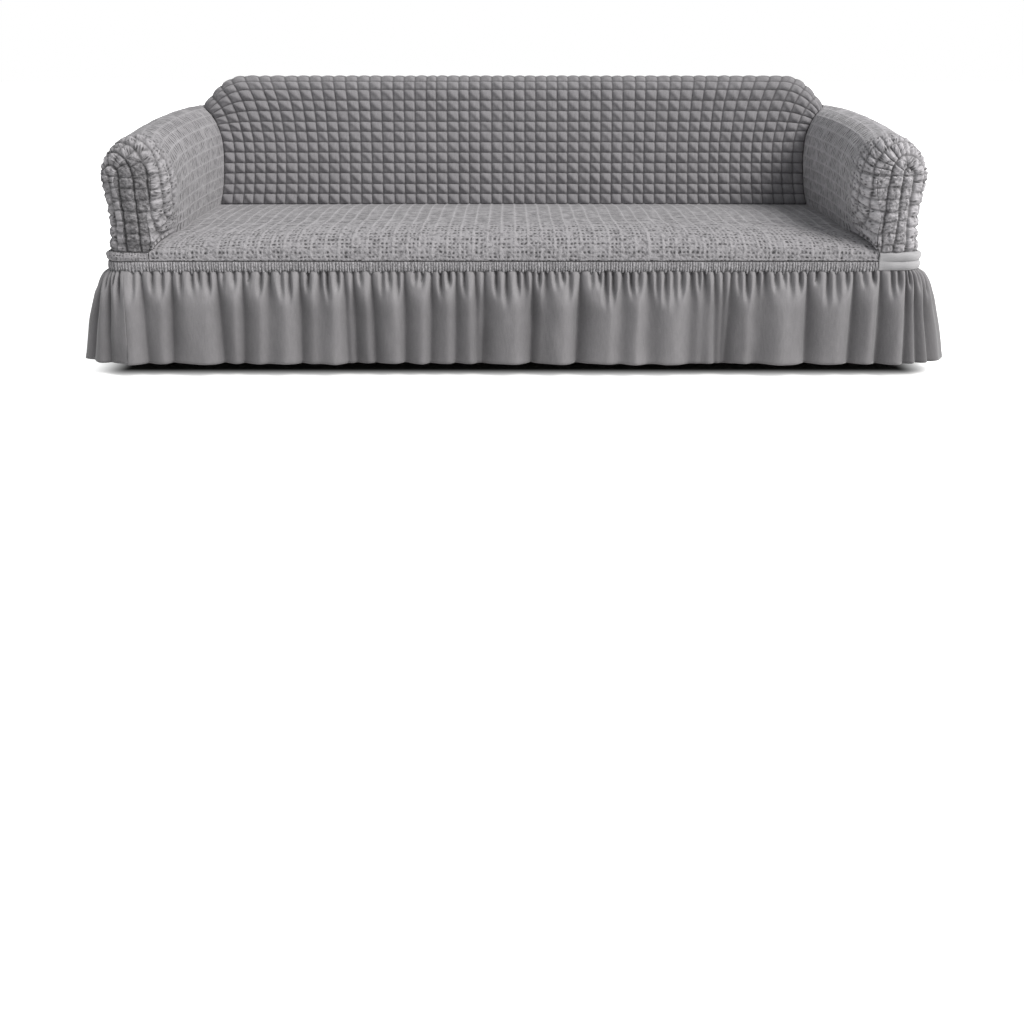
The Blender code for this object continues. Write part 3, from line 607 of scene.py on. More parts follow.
arm_back_edge = arm_section(REAR_Y, np.linspace(REAR_SIDE_END, ARM_TOP_END, 60))
back_top = back_row(1.0, np.linspace(1.0, 0.0, 600))[:, (0, 2)] - np.array((0.0, REAR_TOP_SEAM))
half_outline = np.vstack((arm_back_edge[:-1], back_top))
outline_reach = reach_along(half_outline)
middle_x = (np.arange(REAR_COLUMNS)[::-1, None] + REAR_STEPS[::-1]).ravel() * REAR_PITCH
middle_x = middle_x[middle_x < back_top[0, 0] - REAR_SIDE_GAP]
middle_reach = np.interp(-middle_x, -back_top[:, 0], outline_reach[len(arm_back_edge) - 1:])
side_reach = np.linspace(0.0, middle_reach[0], REAR_SIDE_POINTS)[:-1]
reach = np.concatenate((side_reach, middle_reach))
half = np.stack([np.interp(reach, outline_reach, way) for way in half_outline.T], axis=1)
top_edge = np.vstack((half * (-1.0, 1.0), half[-2::-1]))
foot_share = top_edge[:, :1] / half[0, 0]
rows_high = (half[-1, 1] - REAR_FOOT) / REAR_ROW
levels = (np.arange(int(rows_high))[:, None] + REAR_STEPS).ravel()
levels = np.append(levels, np.linspace(int(rows_high), rows_high, 4)) / rows_high
side_line = arm_section(REAR_Y, np.linspace(1.0, REAR_SIDE_END, 40))
rear_z = REAR_FOOT + (top_edge[:, 1:2] - REAR_FOOT) * levels
side_x = np.where(rear_z > BAND_TOP, np.interp(rear_z, side_line[:, 1], side_line[:, 0]), ARM_FOOT_X)
straight = ARM_FOOT_X + (half[0, 0] - ARM_FOOT_X) * levels
rear_x = ARM_FOOT_X * foot_share * (1.0 - levels) + top_edge[:, :1] * levels
side_share = np.sign(foot_share) * np.abs(foot_share) ** SIDE_HOLD
rear_x += np.where(levels < 1.0, (side_x - straight) * side_share, 0.0)
rear_base = grid(rear_x, REAR_Y + CLOTH, rear_z)
rear_cells = (np.abs(rear_x) / REAR_PITCH, (rear_z - REAR_FOOT) / REAR_ROW)
rear_edge = np.minimum((1.0 - levels) * (top_edge[:, 1:2] - REAR_FOOT), levels * 0.5) / SEAM_REACH
rear_side = np.minimum(np.arange(len(top_edge)), np.arange(len(top_edge))[::-1])[:, None] / 4.0
rear_lift = REAR_RISE * bubble(*rear_cells, dice, REAR_CELLS) * ease(rear_edge) * ease(rear_side)
# The bubbles' height is also their painted shade: darker low in the grooves, lighter on the tips.
outside_back = cloth_panel("rear_bubbles", rear_base, rear_lift, -1.0, grid(rear_x, rear_z),
                           rear_lift / REAR_RISE, (6, 6), crinkle=BUBBLE_CRINKLE)
dress(outside_back, bubble_cloth, ["outside_back"], REAR_FLAT)


# Seat: one panel over the seat and down its rounded front to the seam. The bubbles are pulled out flat: fine
# ribs run on from the back's columns, and between them the cloth crinkles across in rows towards the front.
SEAT_LINE = ((0.0, 0.3122), (0.010, 0.350), (0.045, 0.381), (0.11, 0.399), (0.22, 0.407), (0.36, 0.408),
             (0.50, 0.401), (0.6142, 0.3895))
SEAT_DROP_REACH = 0.006
SEAT_CROWN_POWER = 3.5
EDGE_CLEARANCE = 0.0006
SEAT_RIBS = 54
SEAT_RIB_RISE = 0.0021
SEAT_CELL = 0.034
SEAT_STROKE = (0.0115, 0.0165)
RIB_STEPS = (0.0, 0.06, 0.18, 0.34, 0.5, 0.66, 0.82, 0.94)
ROW_STEPS = (0.0, 0.12, 0.37, 0.63, 0.88)
RIB_CROWN = 0.28
RIB_WIDTH = 0.20
RIB_TALL = (0.75, 1.1)
SEAT_ROW_FADE = (0.4, 0.5)
SEAT_SIDE_FADE = (0.004, 0.012)
SEAT_FRONT = 0.16
SEAT_FRONT_FADE = 0.12
FRONT_PAINTED_SHADE = 0.75
SEAT_CRINKLE = (0.55, 0.45)
CRINKLE_GROWS = ((0.60, 0.24), (0.15, 0.11))

seat_rows = int(round(reach_along(smooth_line(SEAT_LINE, np.linspace(0, 1, 200)))[-1] / SEAT_CELL))
even_rib = stepped(SEAT_RIBS, RIB_STEPS)
seat_u = np.interp(even_rib, back_u, back_across) / SEAT_RIBS * 2.0 - 1.0
even_row = stepped(seat_rows, ROW_STEPS)
seat_mid = smooth_line(SEAT_LINE, even_row / seat_rows)
seat_y = seat_mid[:, 0]
seat_half, seat_side_z = seat_edge(seat_y)
seat_side_z = SEAT_LINE[0][1] + (seat_side_z - SEAT_LINE[0][1]) * ease(seat_y / SEAT_DROP_REACH)
crown = 1.0 - np.abs(seat_u[:, None]) ** SEAT_CROWN_POWER
seat_base = grid(seat_u[:, None] * (seat_half - EDGE_CLEARANCE), seat_y,
                 seat_side_z + (seat_mid[:, 1] - seat_side_z) * crown)
rib_a = np.abs(2.0 * (even_rib % 1.0) - 1.0)[:, None]
seat_tall = dice.uniform(*RIB_TALL, (SEAT_RIBS + 2, seat_rows + 1))
seat_tall = seat_tall[(even_rib + 0.5).astype(int)][:, even_row.astype(int)]
rib = RIB_CROWN * (1.0 - rib_a ** 2) + np.exp(-((1.0 - rib_a) / RIB_WIDTH) ** 2) * seat_tall
seat_fade = ease((seat_rows - even_row) / SEAT_ROW_FADE[1]) * ease(even_row / SEAT_ROW_FADE[0])
side_fade = ease((SEAT_HALF * (1.0 - np.abs(seat_u)) - SEAT_SIDE_FADE[0]) / SEAT_SIDE_FADE[1])
seat_lift = SEAT_RIB_RISE * rib * seat_fade * side_fade[:, None]
# Painted shade: the cloth is painted darker between the ribs than on their crowns, and towards the rounded
# front it is painted darker and more even.
seat_painted_shade = rib * (1.0 - FRONT_PAINTED_SHADE * ease((SEAT_FRONT - seat_y) / SEAT_FRONT_FADE))
seat_uv = cloth_lengths(seat_base)
stroke = SEAT_STROKE[0] + (SEAT_STROKE[1] - SEAT_STROKE[0]) * ease(seat_y / SEAT_FRONT)
seat_count = np.cumsum(np.gradient(seat_uv[0, :, 1]) / stroke)
seat_strokes = grid(even_rib[:, None], seat_count)
growth = sum(ease((start - seat_y) / reach) for start, reach in CRINKLE_GROWS)
seat_crinkle = SEAT_CRINKLE[0] + SEAT_CRINKLE[1] * growth
seat = cloth_panel("seat_ribs", seat_base, seat_lift, 1.0, seat_uv, seat_painted_shade, (8, 5), strokes=seat_strokes,
                   crinkle=seat_crinkle)
# The seat cloth's colours in the rib grooves and on the rib crowns, a painted shade between them.
seat_cloth = cloth_finish("ribbed_seat_cloth", (0.240, 0.233, 0.243), (0.292, 0.284, 0.295),
                          stroke_depth=STROKE_DEPTH, crumple=0.28, contrast=0.72, groove_width=1.0, scatter=0.0)
dress(seat, seat_cloth, ["seat_panel"], flat_size(seat_uv))


# Arms: a wrap from the seat over the arm's roll and down its outer side, and a panel on the arm's front. The
# cloth is gathered round the scroll: bands of crumpled bubbles run up the post and turn over the roll. On the
# left they follow one another as arches, on the right they spread like a fan from the scroll's middle.
ARM_FRONT_Y = 0.004
EDGE_RADIUS = 0.055
EDGE_REACH = (0.085, 0.050)
EDGE_TURNS = np.radians(np.linspace(79.0, 4.0, 24))
EDGE_SINK = 0.005
FACE_BULGE = 0.008
FACE_RISE = 0.0074
WRAP_RISE = 0.0024
WRAP_AROUND = 240
WRAP_ALONG = 124
FACE_AROUND = 208
FACE_ACROSS = 42
WRAP_ROW = 0.0305
WRAP_STROKE = 0.0150
FACE_STROKES = np.array((0.031, 0.009))
STEM_FOOT = BAND_TOP - ARM_TUCK
RING_WANDER = 0.0022
CELL_WANDER = 0.11
GROOVE_WIDTH = 0.0032
NOTCH_WIDTH = 0.0030
PUFF_ROUNDING = 0.34
FOLD_SIZE = (0.0105, 0.0085)
FOLD_DEPTH = 0.42
PUFF_LIMIT = 1.3
RING_WANDER_SCALE = 28.0
RING_STAGGER = 0.06
CELL_WANDER_PLACE = (30.0, 7.0, 0.9)
INSET_FADE = (0.14, 0.12)
OUTER_SIDE = (0.36, 0.1)
RUN_START = 1.02
RUN_POWER = 1.25
EDGE_SINK_REACH = 0.09
WRINKLE_SIZE = (0.05, 0.016)
ROW_LINE_POWER = 8
PLAIN_RELIEF = (0.30, 0.45, 0.30)
PLAIN_PAINTED_SHADE = (0.10, 0.06)
WRAP_FADE = 0.02
GATHER_CRINKLE = 0.55
FACE_BULGE_POWER = 1.7
FACE_FOOT_FADE = (0.04, 0.010)
NOISE_TABLE = 64
OCTAVES = 2
OCTAVE_SHARE = 0.55


def crumple(u, v, seed):
    """Smooth uneven heights from about -1 to 1 over a plane, one swell per unit."""
    total = np.zeros(np.broadcast(u, v).shape)
    for octave in range(OCTAVES):
        table = np.random.default_rng(seed + octave).uniform(-1.0, 1.0, (NOISE_TABLE, NOISE_TABLE))
        x, y = np.broadcast_arrays(u * 2 ** octave, v * 2 ** octave)
        i, j = np.floor(x).astype(int), np.floor(y).astype(int)
        fx, fy = ease(x - i), ease(y - j)
        near, far = (table[i % NOISE_TABLE, row] * (1 - fx) + table[(i + 1) % NOISE_TABLE, row] * fx
                     for row in (j % NOISE_TABLE, (j + 1) % NOISE_TABLE))
        total += (near * (1 - fy) + far * fy) * OCTAVE_SHARE ** octave
    return total


def face_relief(x, z, hub, bands, arc_cell, stem_cell, cross, split, seed):
    """Height of the gathered bands round the hub, for half-width x and height z in the plane of the front."""
    dx, dz = hub[0] - x, z - hub[1]
    above = dz > 0.0
    far = np.where(above, np.hypot(dx, dz), np.abs(dx))
    far = far + RING_WANDER * crumple(x * RING_WANDER_SCALE, z * RING_WANDER_SCALE, seed + 5)
    band = np.interp(far, bands, np.arange(len(bands)))
    ring = np.clip(band.astype(int), 0, len(bands) - 2)
    middles = 0.5 * (np.array(bands[1:]) + np.array(bands[:-1]))
    cells = np.maximum(np.round(math.pi * middles / np.array(arc_cell)), 3)[ring]
    turn = np.arctan2(dz, dx) / math.pi
    stagger = np.where((dx > 0.0) | ((ring == 0) & (not split)), 0.0, 0.5)
    cross_place = np.where(above, turn * cells, dz / stem_cell + RING_STAGGER * ring + stagger)
    scale, shift, cell_scale = CELL_WANDER_PLACE
    cross_place = cross_place + CELL_WANDER * crumple(far * scale + shift, cross_place * cell_scale, seed)
    a = np.where((ring == 0) & (not split), far / bands[1], np.abs(2.0 * (band - ring) - 1.0))
    b = np.abs(2.0 * (cross_place % 1.0) - 1.0)
    strength = np.where(above, np.array(cross)[ring], cross[-1])
    width = np.array(np.diff(bands))[ring]
    groove = np.exp(-(np.minimum(1.0 - a, 1.0) * width * 0.5 / GROOVE_WIDTH) ** 2)
    notch = strength * np.exp(-((1.0 - b) * 0.5 * stem_cell / NOTCH_WIDTH) ** 2)
    puff = (1.0 - PUFF_ROUNDING * a ** 2) * (1.0 - PUFF_ROUNDING * b ** 2) * (1.0 - groove) * (1.0 - notch)
    folds = crumple(x / FOLD_SIZE[0], z / FOLD_SIZE[1], seed + 9)
    return np.clip(puff * (1.0 + FOLD_DEPTH * folds), 0.0, PUFF_LIMIT)


ARM_PATTERNS = {
    "left": dict(hub=(1.085, 0.538), bands=(0.0, 0.028, 0.066, 0.102, 0.137, 0.172, 0.210),
                 arc_cell=(0.020, 0.026, 0.030, 0.034, 0.036, 0.036), stem_cell=0.030,
                 cross=(0.5, 0.65, 0.7, 0.7, 0.55, 0.4, 0.62), split=True, seed=31),
    "right": dict(hub=(1.056, 0.540), bands=(0.0, 0.016, 0.050, 0.092, 0.131, 0.162, 0.210),
                  arc_cell=(0.016, 0.020, 0.0165, 0.0235, 0.030, 0.036), stem_cell=0.0305,
                  cross=(0.5, 0.7, 0.95, 0.95, 0.8, 0.3, 0.75), split=False, seed=57),
}
FACE_SPINE = (1.038, 1.026)
GATHER_REACH = {"left": (0.105, 0.100), "right": (0.125, 0.100)}
# Painted light and shade: each arm has its own lit or shaded copy of the same cloth, the left painted darker
# and the right lighter: its greys from groove to tip, and the shade levels of its plain and gathered cloth.
ARM_PAINTED_SHADING = {"left": dict(wrap=(0.115, 0.305), front=(0.072, 0.202), plain=0.34, gathered=0.52),
             "right": dict(wrap=(0.148, 0.388), front=(0.142, 0.384), plain=0.42, gathered=0.66)}
GREY_CAST = (1.0, 0.972, 1.013)
FRONT_FLAT = (0.105, 0.245)


def section_inset(line, s, inset):
    """Section points moved inwards, but not where they meet the seat or the band."""
    way = np.gradient(line, axis=0)
    way /= np.linalg.norm(way, axis=1, keepdims=True)
    near_seat, near_band = ease(s / INSET_FADE[0]), ease((1.0 - s) / INSET_FADE[1])
    moved = np.stack((way[:, 1] * near_seat, -way[:, 0] * near_seat * near_band), axis=1)
    return line + moved * np.asarray(inset)[..., None], moved


def arm_rear(s):
    """Depth at which the wrap ends: on the back, or at the rear."""
    v = np.linspace(0.0, 1.0, 200)
    on_back = np.interp(s, back_edge_on_arm(v), v)
    y = np.minimum(back_profile(on_back * BACK_LENGTH)[..., 0], REAR_Y)
    return np.where(s >= ARM_TOP_END, REAR_Y, y) - SEAM


wrap_s = np.linspace(0.0, 1.0, WRAP_AROUND + 1)
table_y = np.linspace(0.0, REAR_Y, 90)
table = np.stack([arm_section(y, wrap_s) for y in table_y])
front_line = arm_section(ARM_FRONT_Y, wrap_s)
outer_side = ease((wrap_s - OUTER_SIDE[0]) / OUTER_SIDE[1])[:, None]
edge_reach = EDGE_REACH[0] + (EDGE_REACH[1] - EDGE_REACH[0]) * outer_side
edge_y = ARM_FRONT_Y + edge_reach * (math.sin(EDGE_TURNS[0]) - np.sin(EDGE_TURNS))
edge_inset = EDGE_RADIUS * (1.0 - np.cos(EDGE_TURNS))
run_start = ARM_FRONT_Y + edge_reach * RUN_START
run_share = np.linspace(0.0, 1.0, WRAP_ALONG) ** RUN_POWER
run_y = run_start + (arm_rear(wrap_s)[:, None] - run_start) * run_share
wrap_y = np.concatenate((edge_y, run_y), axis=1)
wrap_xz = np.empty(wrap_y.shape + (2,))
for k in range(len(wrap_s)):
    for axis in (0, 1):
        wrap_xz[k, :, axis] = np.interp(wrap_y[k], table_y, table[:, k, axis])
sink = EDGE_SINK * np.exp(-(np.maximum(wrap_y - ARM_FRONT_Y, 0.0) / EDGE_SINK_REACH) ** 2)
for k in range(wrap_y.shape[1]):
    inset = sink[:, k] + (edge_inset[k] if k < len(edge_inset) else 0.0)
    wrap_xz[:, k] = section_inset(wrap_xz[:, k], wrap_s, inset)[0]
girth = reach_along(front_line)
rim_inset = EDGE_RADIUS * (1.0 - math.cos(EDGE_TURNS[0])) + EDGE_SINK

for side, way in (("left", -1.0), ("right", 1.0)):
    pattern, painted_shading = ARM_PATTERNS[side], ARM_PAINTED_SHADING[side]
    greys = {part: [tuple(shade * part_of for part_of in GREY_CAST) for shade in painted_shading[part]]
             for part in ("wrap", "front")}
    base = grid(wrap_xz[..., 0] * way, wrap_y, wrap_xz[..., 1])
    steps = np.diff(base, axis=1, prepend=base[:, :1])
    past_edge = np.cumsum(np.linalg.norm(steps, axis=-1), axis=1)
    rim, inward = section_inset(front_line, wrap_s, rim_inset)
    spread = rim[:, None, :] - inward[:, None, :] * past_edge[..., None]
    gathered = face_relief(spread[..., 0], spread[..., 1], **pattern)
    row_line = np.abs(2.0 * ((girth[:, None] / WRAP_ROW) % 1.0) - 1.0) ** ROW_LINE_POWER
    wrinkle = crumple(girth[:, None] / WRINKLE_SIZE[0], wrap_y / WRINKLE_SIZE[1], pattern["seed"] + 3)
    plain_lift = WRAP_RISE * (PLAIN_RELIEF[0] + PLAIN_RELIEF[1] * row_line + PLAIN_RELIEF[2] * wrinkle)
    inner, outer = GATHER_REACH[side]
    near = np.exp(-(past_edge / (inner + (outer - inner) * outer_side)) ** 4)
    edges = ease(wrap_s / WRAP_FADE) * ease((1.0 - wrap_s) / WRAP_FADE)
    fade = edges[:, None] * ease((1.0 - np.linspace(0.0, 1.0, wrap_y.shape[1])) / WRAP_FADE)
    lift = (FACE_RISE * gathered * near + np.maximum(plain_lift, 0.0) * (1.0 - near)) * fade
    uv = grid(girth[:, None], wrap_y)
    strokes = uv / (WRAP_ROW, WRAP_STROKE)
    # Painted shade: the plain cloth is painted lighter on its raised row lines and wrinkle tops, the gathered
    # bands darker low in their grooves.
    plain_painted_shade = painted_shading["plain"] + PLAIN_PAINTED_SHADE[0] * row_line + PLAIN_PAINTED_SHADE[1] * wrinkle
    tone = painted_shading["gathered"] * near * lift / FACE_RISE + plain_painted_shade * (1.0 - near)
    wrap = cloth_panel("arm_wrap_" + side + "_cloth", base, lift, way, uv, tone, (8, 8), strokes=strokes,
                       crinkle=1.0 + GATHER_CRINKLE * near)
    # This side's own copy of the wrap cloth, painted darker on the left arm and lighter on the right.
    wrap_cloth = cloth_finish("arm_cloth_painted_shading_" + side, *greys["wrap"], stroke_depth=STROKE_DEPTH, crumple=0.22,
                              contrast=0.60, groove_width=0.5, scatter=3.0)
    dress(wrap, wrap_cloth, ["arm_wrap_" + side],
          flat_size(cloth_lengths(base)))

    face_s = np.linspace(0.0, 1.0, FACE_AROUND + 1)
    face_line = arm_section(ARM_FRONT_Y, face_s)
    face_rim = section_inset(face_line, face_s, rim_inset + SEAM)[0]
    face_rim[:, 1] = np.maximum(face_rim[:, 1], STEM_FOOT)
    level = np.minimum(0.5 * (face_rim[:, 1] + face_rim[::-1, 1]), pattern["hub"][1])
    share = (level - STEM_FOOT) / (pattern["hub"][1] - STEM_FOOT)
    spine = np.stack((FACE_SPINE[0] + (FACE_SPINE[1] - FACE_SPINE[0]) * share, level), axis=1)
    t = np.linspace(0.0, 1.0, FACE_ACROSS + 1)
    plane = face_rim[:, None, :] + (spine - face_rim)[:, None, :] * t[None, :, None]
    from_foot = plane[..., 1] - STEM_FOOT
    bulge = FACE_BULGE * (1.0 - (1.0 - t) ** FACE_BULGE_POWER)
    depth = ARM_FRONT_Y - bulge * ease(from_foot / FACE_FOOT_FADE[0])
    base = grid(plane[..., 0] * way, depth, plane[..., 1])
    lift = FACE_RISE * face_relief(plane[..., 0], plane[..., 1], **pattern)
    lift *= ease(from_foot / FACE_FOOT_FADE[1])
    face = cloth_panel("arm_front_" + side + "_cloth", base, lift, -way, plane, lift / FACE_RISE, (4, 8),
                       folded=True, strokes=plane / FACE_STROKES)
    # This side's own copy of the front cloth, painted darker on the left arm and lighter on the right.
    face_cloth = cloth_finish("arm_front_cloth_painted_shading_" + side, *greys["front"], stroke_depth=STROKE_DEPTH,
                              crumple=0.9, contrast=0.55, groove_width=0.5)
    dress(face, face_cloth, ["arm_front_" + side], FRONT_FLAT)


# Foot of the cover: a soft band of the seat's cloth under the left arm and a smooth pale tape in two rolls
# under the right one, both round the corner and along the side, their tops turned in against the arm. Between
# them and under the left band runs the shirred heading, drawn up into upright ribs that end over the skirt.
HEADING_TOP = 0.3104
SKIRT_TOP = 0.2858
BAND_ROLL = 0.0065
BAND_ROUND = 0.7
TAPE_ROUND = 0.6
TAPE_ROLL_AT_START = 0.15
BAND_RELIEF = 0.0012
BAND_CRINKLE = (0.012, 0.008)
BAND_FADE = 0.12
ROLL_START = 0.045
EDGE_LEAN = 0.006
LEAN_START = 0.78
LEAN_REACH = 0.22
TAPE_STROKE = (0.09, 0.0042)
FOOT_SPACING = 0.0042
TAPE_GREY = (0.415, 0.41, 0.42)
CORNER_RADIUS = 0.052
BASE_HALF = 1.126
BASE_FRONT = 0.0
HEADING_RISE = 0.0030
HEADING_SPACING = 0.0014
HEADING_FADE = (0.25, 0.12)
HEADING_AT_FOOT = 0.4
HEADING_SWELL = (0.002, 0.0015)
HEADING_STROKE = (0.011, 0.007)
RIB_PITCH = 0.0076
HEADING_DROP = 0.013
RIB_WIDTHS = (0.65, 1.35)
RIB_HEIGHTS = (0.65, 1.1)
RIB_ROUND = (1.8, 0.8)
RIB_ENDS = (0.1, 1.0)
RIB_END_POWER = (0.7, 1.3)


def foot_line(start_x, spacing):
    """Half-width and depth from the front round the corner to the rear, outward ways, and lengths."""
    centre = np.array((BASE_HALF - CORNER_RADIUS, BASE_FRONT + CORNER_RADIUS))
    front = centre[0] - start_x
    bend = math.pi / 2 * CORNER_RADIUS
    total = front + bend + (REAR_Y - SEAM) - centre[1]
    at = np.linspace(0.0, total, int(total / spacing) + 1)
    turn = np.clip((at - front) / CORNER_RADIUS, 0.0, math.pi / 2)
    out = np.stack((np.sin(turn), -np.cos(turn)), axis=1)
    place = centre + out * CORNER_RADIUS
    place[:, 0] -= np.maximum(front - at, 0.0)
    place[:, 1] += np.maximum(at - front - bend, 0.0)
    return place, out, at


def foot_panel(name, way, line, heights, swell, lift, tone, finish, nodes, steps, strokes,
               crinkle=1.0):
    """A strip along the foot: heights and swell run up its section, lift is its relief."""
    place, out, at = line
    spot = place[:, None, :] + out[:, None, :] * np.broadcast_to(swell, lift.shape)[..., None]
    z = np.broadcast_to(heights, spot.shape[:2])
    base = grid(spot[..., 0] * way, spot[..., 1], z)
    strip = cloth_panel(name, base, lift, way, grid(at[:, None], heights), tone, steps, strokes=strokes,
                        crinkle=crinkle)
    flat = round(float(at[-1] - at[0]), 3), round(float(np.mean(np.ptp(z, axis=1))), 3)
    dress(strip, finish, nodes, flat)


arm_foot = float(seat_edge(0.0)[0]) + SEAM
band_line = foot_line(arm_foot, FOOT_SPACING)
climb = np.linspace(0.0, 1.0, 13)
band_z = HEADING_TOP + SEAM + (BAND_TOP - HEADING_TOP - SEAM) * climb
band_at = band_line[2][:, None]
band_crumple = crumple(band_at / BAND_CRINKLE[0], band_z / BAND_CRINKLE[1], 71)
band_lift = BAND_RELIEF * np.clip(0.5 + band_crumple, 0.0, 1.0)
band_lift = band_lift * ease(np.minimum(climb, 1.0 - climb) / BAND_FADE)
band_strokes = grid(band_z / BAND_CRINKLE[0], band_at / BAND_CRINKLE[1])
flush_start = ease(band_at / ROLL_START)
band_swell = BAND_ROLL * np.sin(np.pi * climb) ** BAND_ROUND * flush_start
band_swell = band_swell - EDGE_LEAN * ease((climb - LEAN_START) / LEAN_REACH)
# Painted shade: the band is painted darker in the hollows of its crumples than on their tops.
foot_panel("left_band_cloth", -1.0, band_line, band_z, band_swell, band_lift, band_lift / BAND_RELIEF,
           seat_cloth, ["band_left"], (6, 4), band_strokes, crinkle=1.45)

tape_cloth = cloth_finish("smooth_pale_tape", TAPE_GREY, TAPE_GREY, stroke_depth=0.0003, crumple=0.6,
                          contrast=0.10, yarn_depth=0.00004, roughness=0.75, sheen=0.3)
tape_climb = np.linspace(0.0, 2.0, 25)
tape_z = SKIRT_TOP + SEAM + (BAND_TOP - SKIRT_TOP - SEAM) * tape_climb / 2.0
tape_start = TAPE_ROLL_AT_START + (1.0 - TAPE_ROLL_AT_START) * flush_start
tape_swell = BAND_ROLL * np.abs(np.sin(np.pi * tape_climb)) ** TAPE_ROUND * tape_start
tape_swell = tape_swell - EDGE_LEAN * ease((tape_climb - 1.0 - LEAN_START) / LEAN_REACH)
tape_strokes = grid(band_at / TAPE_STROKE[0], tape_z / TAPE_STROKE[1])
flat_lift = np.zeros(tape_swell.shape)
foot_panel("right_tape", 1.0, band_line, tape_z, tape_swell, flat_lift, flat_lift, tape_cloth,
           ["band_right"], (6, 2), tape_strokes)

# Painted shade: the heading's colours, dark between its ribs and light on their tops.
heading_cloth = cloth_finish("shirred_cloth", (0.130, 0.126, 0.132), (0.375, 0.366, 0.380), stroke_depth=0.0016,
                             crumple=1.0, contrast=0.45, groove_width=0.75)


def heading(name, way, line, seed, nodes):
    """One length of the shirred heading along a line of the foot: its upright ribs, with uneven lower ends."""
    at = line[2]
    chance = np.random.default_rng(seed)
    count = int((at[-1] - at[0]) / RIB_PITCH)
    widths = chance.uniform(*RIB_WIDTHS, count)
    lines = at[0] + np.append(0.0, np.cumsum(widths)) / widths.sum() * (at[-1] - at[0])
    place = np.interp(at, lines, np.arange(count + 1))
    rib = np.minimum(place.astype(int), count - 1)
    across = np.abs(2.0 * (place - rib) - 1.0)
    rise = (1.0 - across ** RIB_ROUND[0]) ** RIB_ROUND[1] * chance.uniform(*RIB_HEIGHTS, count)[rib]
    drop = (1.0 - across) ** RIB_END_POWER[0] * chance.uniform(*RIB_ENDS, count)[rib] ** RIB_END_POWER[1]
    climb = np.linspace(0.0, 1.0, 12)
    foot = SKIRT_TOP + SEAM - HEADING_DROP * drop
    z = foot[:, None] + (HEADING_TOP - foot[:, None]) * climb
    fade = ease(climb / HEADING_FADE[0]) * (1.0 - HEADING_AT_FOOT) + HEADING_AT_FOOT
    lift = HEADING_RISE * rise[:, None] * fade * ease((1.0 - climb) / HEADING_FADE[1])
    swell = HEADING_SWELL[0] * np.sin(np.pi * climb) + HEADING_SWELL[1] * (1.0 - climb)
    strokes = grid(at[:, None] / HEADING_STROKE[0], z / HEADING_STROKE[1])
    # The ribs' height is also their painted shade.
    foot_panel(name, way, line, z, swell, lift, lift / HEADING_RISE, heading_cloth,
               nodes, (4, 4), strokes)


front_at = np.arange(0.0, 2.0 * (arm_foot - SEAM), HEADING_SPACING)
front_place = np.stack((front_at - arm_foot + SEAM, np.full_like(front_at, BASE_FRONT)), axis=1)
front_out = np.tile((0.0, -1.0), (len(front_at), 1))
heading("front_shirring", 1.0, (front_place, front_out, front_at), 83, ["shirred_heading"])
heading("left_shirring", -1.0, foot_line(arm_foot, HEADING_SPACING), 89, ["shirred_heading_left"])


# Skirt: plain smooth cloth, one long strip gathered behind the heading and falling to a narrow hem just off
# the floor. Close under the heading it is drawn into short pits between round ridges. Every few of them, one
# runs on as a long crease with one steep side, or as a soft valley, to the hem. It flares at the corners.
HEM_HEIGHT = 0.036
FLARES = np.array((0.052, 0.096, 0.045, 0.096))
CORNER_TUCKS = (0.0, -0.008, 0.010, 0.010)
BASE_REAR = 0.8178
SKIRT_SETBACK = 0.002
SKIRT_TUCK = 0.004
GATHER_DEPTH = 0.005
FLARE_POWER = (0.55, 0.50)
SKIRT_ROWS = 38
SKIRT_SPACING = (0.0025, 0.0042, 0.0062, 0.0042)
CORNER_SWEEP = 0.19
PIT_GAP = (0.017, 0.032)
PIT_DEPTH = 0.0170
PIT_SHARE = (0.6, 1.1)
PIT_FADE = (0.3, 0.9)
PIT_DRIFT = (-0.012, 0.012)
FOLD_GROWN = 0.55
RIDGE_GROWN = 0.6
SKIRT_LEVEL_POWER = 1.25
PIT_LENGTH = (0.16, 0.46)
CREASE_DEPTH = (0.026, 0.036)
VALLEY_DEPTH = (0.014, 0.020)
CREASE_WIDTHS = ((0.0048, 0.0125), (0.0056, 0.034))
VALLEY_WIDTHS = ((0.0058, 0.015), (0.0058, 0.024))
PIT_WIDTHS = ((0.0046, 0.014), (0.0046, 0.014))
CREASE_SHARE = 0.6
CREASE_TOP = 0.9
CREASE_EDGE = (0.03, 0.17)
VALLEY_EDGE = 0.7
ROUND_END = 0.02
CORNER_NEAR = 0.7
CORNER_SPACING = 0.0034
CORNER_TUCK_REACH = 0.11
RIDGE_HEIGHT = (0.0045, 0.0095)
SKIRT_CRUMPLE = 0.0028
SKIRT_CRUMPLE_SIZE = 0.055
HEM_WAVE = 0.0012
HEM_WAVE_SIZE = 0.05
HEM_RELIEF = 0.0006
HEM_START = 0.945
HEM_FADE = 0.012
RELIEF_AT_SEAM = 0.35
RELIEF_GROWN = 0.06
RIDGES_OUT = 0.004
# Painted shade: how much darker the skirt is painted in its pits, creases and valleys than on its ridges, close
# under the heading and further down, and where the one gives way to the other.
TOP_PAINTED_SHADE = (0.78, 0.018)
FALL_PAINTED_SHADE = (0.35, 0.07)
FALL_PAINTED_SHADE_GROWN = 0.45
FOLD_MEMBERS = (1, 2, 3, 3, 4, 5)

